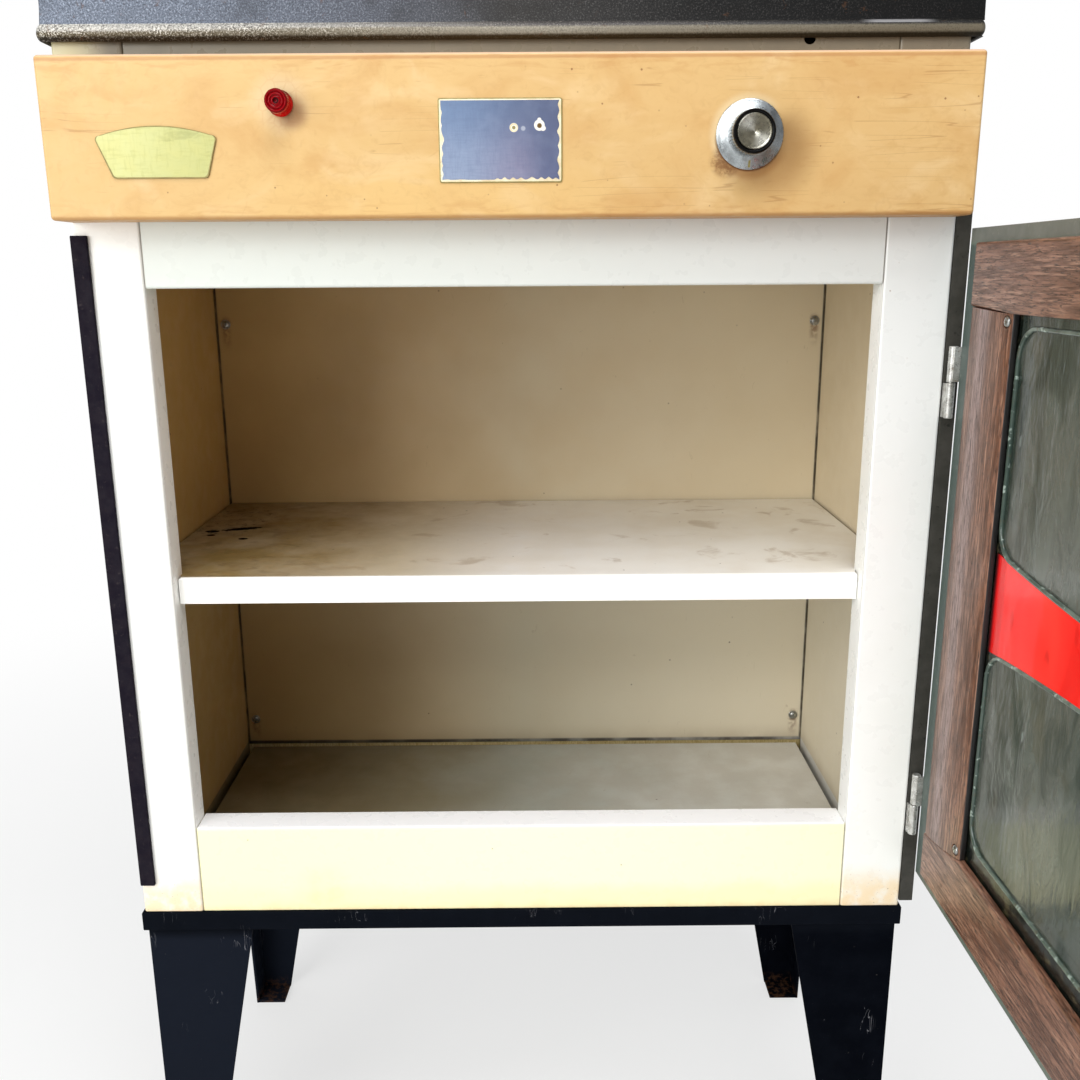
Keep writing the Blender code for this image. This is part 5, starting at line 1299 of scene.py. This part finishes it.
# ------------------------------------------------------------ thermostat bulb and its capillary
CAPILLARY = [(175.0, -14, 876), (180, -13, 879), (185, -6, 880), (185, 8, 880), (184, 30, 876),
             (160, 60, 850), (142, 70, 815), (140, 70, 800), (140, 70, 789), (136, 72, 783.5),
             (124, 74, 782)]
BULB = [(0, 0), (2.6, 0.2), (3.6, 1.0), (4, 2.2), (4, 93), (3.4, 95.2), (2, 96), (0, 96)]
path = smooth_path([Vector(corner) for corner in CAPILLARY], 8)
bulb = emit("thermostat_capillary", tube(path, 1.2, 12), COPPER)
carve(bulb, turned(BULB, (30, 74, 782), "X", 32), operation="UNION")
place(bulb, CABINET, "thermostat_bulb", "copper")

# ------------------------------------------------------------ hinges
HINGE_X, HINGE_Y, HINGE_HEIGHT = 304.0, -4.0, 50.0
HALF_HINGE = HINGE_HEIGHT / 2
KNUCKLE, PIN = 3.1, 1.5         # radii
# upper part of each knuckle: the side and its rounded top
KNUCKLE_TOP = [(KNUCKLE, 0.3), (KNUCKLE, HALF_HINGE - 0.6), (KNUCKLE - 0.3, HALF_HINGE - 0.3)]
CABINET_LEAF = [(0, 0), (KNUCKLE - 0.3, 0), *KNUCKLE_TOP, (PIN, HALF_HINGE - 0.3),
                (PIN, HINGE_HEIGHT - 8.6), (PIN - 0.5, HINGE_HEIGHT - 8), (0, HINGE_HEIGHT - 8)]
DOOR_LEAF = [(0, HALF_HINGE - 6.3), (PIN + 0.25, HALF_HINGE - 6.3), (PIN + 0.25, 0),
             (KNUCKLE - 0.3, 0), *KNUCKLE_TOP, (0, HALF_HINGE - 0.3)]
for level, z in (("lower", 356.0), ("upper", 680.0)):
    middle = z + HALF_HINGE
    cabinet_flap = box((300.3, 306.6), (HINGE_Y + 1.2, 0.7), (z + 0.4, middle - 0.8), 0.5,
                       lambda one, two: abs(one.x - two.x) > 1, segments=3)
    door_flap = box((HINGE_X - 0.6, 322), (-8.7, -6.7), (middle + 0.8, z + HINGE_HEIGHT - 0.4),
                    0.6, lambda one, two: abs(one.y - two.y) > 1, segments=3)
    for body, profile, low, flap in ((CABINET, CABINET_LEAF, z, cabinet_flap),
                                     (DOOR, DOOR_LEAF, middle + 0.3, door_flap)):
        name = f"hinge_{level}_{body}_leaf"
        leaf = emit(name + "_turned", turned(profile, (HINGE_X, HINGE_Y, low), "Z", 36),
                    HINGE_METAL)
        place(carve(leaf, flap, operation="UNION"), body, name, "zinc_steel")

# ------------------------------------------------------------ door: glass
REBATE = 3.1                    # how far the sheet reaches under the wood
GLASS_HINGE_Y, GLASS_LATCH_Y = PANE_HINGE_Y + REBATE, PANE_LATCH_Y - REBATE
GLASS_LOW, GLASS_TOP = PANE_LOW - REBATE, PANE_TOP + REBATE
GLASS_COLUMNS, GLASS_ROWS = 90, 80
WINDOW_MIDDLE, WINDOW_HALF, WINDOW_CORNER = -308.0, 210.4, 20
RIM_X, RIM_RADIUS = 308.0, 1.5
BAND_COLUMNS, BAND_ROWS = 72, 10


def slab(columns, rows, at):
    """A sheet whose inner and outer points come from at(column, row)."""
    shape = bmesh.new()
    inner, outer = [], []
    for i in range(columns + 1):
        pairs = [[shape.verts.new(p) for p in at(i, j)] for j in range(rows + 1)]
        inner.append([pair[0] for pair in pairs])
        outer.append([pair[1] for pair in pairs])
    face = shape.faces.new
    for i in range(columns):
        for j in range(rows):
            face((inner[i][j], inner[i][j + 1], inner[i + 1][j + 1], inner[i + 1][j]))
            face((outer[i][j], outer[i + 1][j], outer[i + 1][j + 1], outer[i][j + 1]))
    for i in range(columns):
        face((inner[i][0], inner[i + 1][0], outer[i + 1][0], outer[i][0]))
        face((inner[i][rows], outer[i][rows], outer[i + 1][rows], inner[i + 1][rows]))
    first_in, first_out, last_in, last_out = inner[0], outer[0], inner[-1], outer[-1]
    for j in range(rows):
        face((first_in[j], first_out[j], first_out[j + 1], first_in[j + 1]))
        face((last_in[j], last_in[j + 1], last_out[j + 1], last_out[j]))
    return shape


def glass_point(i, j):
    """Old drawn glass: slow waves, longer up and down than across, flat at the edges."""
    y = GLASS_HINGE_Y + (GLASS_LATCH_Y - GLASS_HINGE_Y) * i / GLASS_COLUMNS
    z = GLASS_LOW + (GLASS_TOP - GLASS_LOW) * j / GLASS_ROWS
    edge = min(1.0, min(i, GLASS_COLUMNS - i, j, GLASS_ROWS - j) / 3)
    ripple = (0.5 + 0.5 * mnoise.noise(Vector((y * 0.028, z * 0.014, 2.0)))
              + 0.16 * mnoise.noise(Vector((y * 0.09, z * 0.05, 7.0))))
    wave = max(0.0, ripple) * 0.55 * edge
    return (308.5 + wave, y, z), (312.5 - wave * 0.5, y, z)


def upper_sill(y):
    return 607 - 13.2 * (1 - ((y - WINDOW_MIDDLE) / 209) ** 2)


def lower_head(y):
    return 540 + 11.0 * (1 - ((y - WINDOW_MIDDLE) / 201) ** 2)


def rim_path(head, sill):
    """A closed path round one moulded pane; head and sill give Z from Y."""
    radius = WINDOW_CORNER
    reach = WINDOW_HALF - radius
    near, far = WINDOW_MIDDLE + reach, WINDOW_MIDDLE - reach
    across = [reach - 2 * reach * k / 28 for k in range(1, 28)]
    points = arc(near, head(near) - radius, radius, 0, 90, 9)
    points += [(WINDOW_MIDDLE + y, head(WINDOW_MIDDLE + y)) for y in across]
    points += arc(far, head(far) - radius, radius, 90, 180, 9)
    points += arc(far, sill(far) + radius, radius, 180, 270, 9)
    points += [(WINDOW_MIDDLE - y, sill(WINDOW_MIDDLE - y)) for y in across]
    points += arc(near, sill(near) + radius, radius, 270, 360, 9)
    return [Vector((RIM_X, y, z)) for y, z in points]


def band_point(i, j):
    y = -96.0 + (-520.0 + 96.0) * i / BAND_COLUMNS
    low, high = lower_head(y) + 1.2, upper_sill(y) - 1.2
    z = low + (high - low) * j / BAND_ROWS
    wave = 0.12 * mnoise.noise(Vector((y * 0.05, z * 0.03, 4.0)))
    return (307.75 + wave, y, z), (308.42, y, z)


place(emit("glass_sheet", slab(GLASS_COLUMNS, GLASS_ROWS, glass_point), GLASS), DOOR,
      "glass_pane", "window_glass")
for level, head, sill in (("upper", lambda y: 747.5, upper_sill),
                          ("lower", lower_head, lambda y: 401.0)):
    shape = tube(rim_path(head, sill), RIM_RADIUS, 14, closed=True)
    place(emit("glass_rim_" + level, shape, RIM, angle=60), DOOR, "glass_pane", "window_glass")
place(emit("glass_red_band", slab(BAND_COLUMNS, BAND_ROWS, band_point), RED_BAND), DOOR,
      "glass_pane", "window_glass")

# ------------------------------------------------------------ door: wood
WOOD_BACK = 307.2               # X of the wood's outer face, against the door
WOOD_HINGE_Y, WOOD_LATCH_Y, WOOD_LOW, WOOD_TOP = -31.0, -585.0, 337.0, 798.7
DROP, RISE = 14.0, 2.5          # slant of the joints at the bottom and the top
STILE_WIDTH = WOOD_HINGE_Y - PANE_HINGE_Y
FLAT, CREST = 3.0, 6.2          # thickness of a stile at its edges and its middle
STILE_PARTS, PROFILE_STEPS = 36, 30
SEAT_X = WOOD_BACK - 3.4        # floor of the screw's pocket
SCREW_BASE = WOOD_BACK + 6.5
SHANK = SCREW_BASE - SEAT_X
DOOR_SCREW = [(0, 0), (1.3, 0), (1.3, SHANK + 0.3), (3.4, SHANK + 0.3), (3.45, SHANK + 0.9),
              (3.2, SHANK + 1.5), (2.5, SHANK + 2.2), (1.4, SHANK + 2.6), (0, SHANK + 2.7)]

# distance from the outer edge, height off the back
moulding = [(0.0, 0.0)]
for k in range(PROFILE_STEPS + 1):
    angle = math.pi * k / PROFILE_STEPS
    moulding.append((STILE_WIDTH * (0.5 - 0.5 * math.cos(angle)),
                     FLAT + (CREST - FLAT) * math.sin(angle)))
moulding.append((STILE_WIDTH, 0.0))


def stile_shape(y_outer, outward):
    shape = bmesh.new()
    rings = []
    for i in range(STILE_PARTS + 1):
        ring = []
        for across, height in moulding:
            share = 1 - across / STILE_WIDTH
            low, high = PANE_LOW - DROP * share + 0.3, PANE_TOP + RISE * share - 0.3
            z = low + (high - low) * i / STILE_PARTS
            y = y_outer - outward * across
            if height > 3.2:
                height += 0.12 * mnoise.noise(Vector((y * 0.35, z * 0.02, 3.0)))
            ring.append(shape.verts.new((WOOD_BACK - height, y, z)))
        rings.append(ring)
    skin(shape, rings)
    ends = [shape.faces.new(rings[0][::-1]), shape.faces.new(rings[-1])]
    bmesh.ops.triangulate(shape, faces=ends)
    return shape


for tag, y_outer, y_inner, outward in (("hinge", WOOD_HINGE_Y, PANE_HINGE_Y, 1),
                                       ("latch", WOOD_LATCH_Y, PANE_LATCH_Y, -1)):
    bar = emit(f"wood_stile_{tag}_moulding", stile_shape(y_outer, outward), WOOD_Z, angle=38)
    pockets = []
    screw_y = y_inner + 6 * outward
    for level, z in (("lower", PANE_LOW + 5), ("upper", PANE_TOP - 5)):
        start = (SEAT_X - 20, screw_y, z)
        pockets += [rod(4.0, 20, start, "X", 32), rod(1.7, 40, start, "X", 20)]
        screw = emit(f"door_screw_{level}_{tag}_head",
                     turned(DOOR_SCREW, (SCREW_BASE, screw_y, z), "-X", 32), ZINC)
        slot = box((-1.0, 0.9), (-4, 4), (-0.4, 0.4))
        turn = Matrix.Rotation(0.5 + z * 0.013, 3, "X")
        for vert in slot.verts:
            vert.co = turn @ vert.co + Vector((SCREW_BASE - SHANK - 2.7, screw_y, z))
        place(carve(screw, slot), DOOR, f"door_screw_{level}_{tag}_side", "zinc_steel")
    place(carve(bar, *pockets, angle=38), DOOR, f"wood_stile_{tag}_side", "walnut")

for name, outer_z, inner_z, shift in (("wood_rail_top", WOOD_TOP, PANE_TOP, RISE),
                                      ("wood_rail_bottom", WOOD_LOW, PANE_LOW, -DROP)):
    outline = [(WOOD_HINGE_Y, outer_z), (WOOD_LATCH_Y, outer_z), (WOOD_LATCH_Y, inner_z + shift),
               (PANE_LATCH_Y, inner_z), (PANE_HINGE_Y, inner_z), (WOOD_HINGE_Y, inner_z + shift)]
    shape = prism(outline, "X", WOOD_BACK - 5.4, WOOD_BACK)
    bevel(shape, [e for e in shape.edges if max(v.co.x for v in e.verts) < WOOD_BACK - 5], 2.6, 7)
    place(emit(name + "_moulding", shape, WOOD_Y), DOOR, name, "walnut")

# ------------------------------------------------------------ door pull
PULL_Y, PULL_Z, PULL_REACH = -571.0, 567.0, 48
BOW = ((1.2, -PULL_REACH), (12, -47), (18.5, -36), (19.5, 0), (18.5, 36), (12, 47),
       (1.2, PULL_REACH))      # distance from the door, height
ROSE = [(0, 0), (7.6, 0), (8, 0.3), (8, 1.2), (7.4, 1.9), (5.8, 2.4), (0, 2.4)]
corners = [Vector((329.5 + out, PULL_Y, PULL_Z + up)) for out, up in BOW]
shape = tube(smooth_path(corners, 9), lambda t: 4.1 + 0.4 * math.sin(math.pi * t), 28)
pull = emit("door_pull_bow", shape, PULL_METAL)
roses = [turned(ROSE, (329.8, PULL_Y, PULL_Z + up), "X", 40) for up in (-PULL_REACH, PULL_REACH)]
carve(pull, *roses, operation="UNION", angle=40)
place(pull, DOOR, "door_pull", "turned_aluminium")

# ------------------------------------------------------------ mains cord on the back
CORD_X, CORD_Z = -210.0, 480.0
COIL_RADIUS, COIL_TURNS, COIL_STEPS, COIL_START = 84, 2.5, 200, math.radians(174)
coil_x, coil_z = CORD_X + COIL_RADIUS, CORD_Z + 20
path = smooth_path([Vector((CORD_X, 296.5, CORD_Z)), Vector((CORD_X, 302, CORD_Z)),
                    Vector((CORD_X - 0.5, 305.4, CORD_Z + 3))], 6)
for k in range(COIL_STEPS + 1):
    angle = COIL_START - 2 * math.pi * COIL_TURNS * k / COIL_STEPS
    radius = COIL_RADIUS * (1 - 0.02 * k / COIL_STEPS)
    path.append(Vector((coil_x + radius * math.cos(angle), 306.4 + 17.5 * k / COIL_STEPS,
                        coil_z + COIL_RADIUS * 1.1 * math.sin(angle))))
last = path[-1]
path += smooth_path([last + Vector(step) for step in ((0, 0, -12), (2, -1, -34), (2, -3, -62))], 8)
plug = path[-1]

BUSH = [(0, 0), (5.6, 0), (5.6, 4.0), (9, 4.0), (9, 4.7), (8.6, 5.1), (6.4, 5.6), (5.2, 7.4),
        (3.4, 8.2), (0, 8.2)]
SLEEVE = [(0, 0), (5.4, 0), (5.4, 2), (5.0, 2.6), (5.4, 3.2), (4.9, 5.2), (4.5, 5.8),
          (4.8, 6.4), (4.3, 8.6), (0, 8.6)]


def place_cord(name, shape, material, angle=32):
    place(emit(name, shape, material, angle=angle), CABINET, "power_cord", "flex")


place_cord("power_cord_flex", tube(path, 3.2, 16), FLEX, angle=60)
place_cord("cord_bush", turned(BUSH, (CORD_X, 296.3, CORD_Z), "Y", 40), RUBBER)
shape = box((plug.x - 15, plug.x + 15), (plug.y - 9.5, plug.y + 9.5),
            (plug.z - 26, plug.z + 3), 3.4, segments=5)
for vert in shape.verts:
    # the body narrows towards the cord
    t = max(0.0, (vert.co.z - (plug.z - 14)) / 17)
    vert.co.x = plug.x + (vert.co.x - plug.x) * (1 - 0.34 * t * t)
place_cord("plug_body", shape, BAKELITE)
place_cord("plug_sleeve", turned(SLEEVE, (plug.x, plug.y, plug.z + 2.4), "Z", 32), RUBBER)
for k, aside in enumerate((-6, 6)):
    blade_x = plug.x + aside
    place_cord(f"plug_blade_{k}", box((blade_x - 0.8, blade_x + 0.8), (plug.y - 3.2, plug.y + 3.2),
                                      (plug.z - 43, plug.z - 25.5), 0.6, segments=3), BRASS)

# ------------------------------------------------------------ floor
stage = Look("pale_floor", (243, 243, 241), 0.8, shine=0.1)
stage.base(stage.mix(stage.noise(300).ease(0.3, 0.7), (244, 244, 242), (241, 241, 239)))
stage.grain(6, depth=0.05, detail=2)
# the floor runs out into the white of the backdrop
flat = stage.vector("MULTIPLY", stage.point, (1, 1, 0))
away = stage.node("ShaderNodeVectorMath", {0: flat}, output=1, operation="LENGTH")
white = stage.node("ShaderNodeEmission", {})
seen = stage.node("ShaderNodeLightPath", {})  # its first output is Is Camera Ray
stage.blend(seen * away.ease(500, 2000, to=(0.6, 1.0)), white)
shape = bmesh.new()
bmesh.ops.create_grid(shape, x_segments=1, y_segments=1, size=9000)
for vert in shape.verts:
    vert.co.z = -0.4
emit("floor", shape, stage.mat)

# ------------------------------------------------------------ world: white to the camera
scene = bpy.context.scene
world = bpy.data.worlds.new("soft_white")
scene.world = world
world.use_nodes = True
tree = world.node_tree
sky = tree.nodes["Background"]
sky.inputs[0].default_value = (0.95, 0.97, 1.0, 1)
sky.inputs[1].default_value = 0.42
backdrop = tree.nodes.new("ShaderNodeBackground")
backdrop.inputs[0].default_value = (1, 1, 1, 1)
rays = tree.nodes.new("ShaderNodeLightPath")
either = tree.nodes.new("ShaderNodeMixShader")
tree.links.new(rays.outputs["Is Camera Ray"], either.inputs[0])
tree.links.new(sky.outputs[0], either.inputs[1])
tree.links.new(backdrop.outputs[0], either.inputs[2])
tree.links.new(either.outputs[0], tree.nodes["World Output"].inputs[0])


# ------------------------------------------------------------ lights
def area(name, where, size, power, tint, aim_z=560):
    """A rectangular light aimed at the cabinet's front; size in metres, power in watts."""
    light = bpy.data.lights.new(name, "AREA")
    light.shape = "RECTANGLE"
    light.size, light.size_y = size
    light.energy = power
    light.color = tint
    made = bpy.data.objects.new(name, light)
    made.location = to_frame(*where)
    aim = to_frame(0, 0, aim_z) - made.location
    made.rotation_euler = aim.to_track_quat("-Z", "Y").to_euler()
    home.objects.link(made)


area("key", (-1900, -1900, 1250), size=(2.0, 1.5), power=42, tint=(1.0, 1.0, 0.99), aim_z=620)
area("front", (-900, -2300, 2400), size=(1.6, 1.2), power=26, tint=(1.0, 1.0, 0.99))
area("top", (300, -1100, 3000), size=(1.2, 1.2), power=34, tint=(0.98, 0.99, 1.0))

# ------------------------------------------------------------ camera
EYE = (13.80, -754.09, 782.55)
YAW, PITCH, ROLL = math.radians(0.1896), math.radians(14.135), math.radians(0.384)
forward = Vector((math.sin(YAW) * math.cos(PITCH), math.cos(YAW) * math.cos(PITCH),
                  -math.sin(PITCH)))
level_right = Vector((math.cos(YAW), -math.sin(YAW), 0))
level_down = forward.cross(level_right)
right = level_right * math.cos(ROLL) + level_down * math.sin(ROLL)
down = -level_right * math.sin(ROLL) + level_down * math.cos(ROLL)
camera = bpy.data.cameras.new("camera")
camera.sensor_width = 36
camera.lens = 35.647
camera.clip_start, camera.clip_end = 0.02, 60
eye = bpy.data.objects.new("camera", camera)
turn = Matrix((right, -down, -forward)).transposed().to_4x4()
eye.matrix_world = Matrix.Translation(to_frame(*EYE)) @ turn
home.objects.link(eye)
scene.camera = eye
scene.view_settings.view_transform = "Standard"
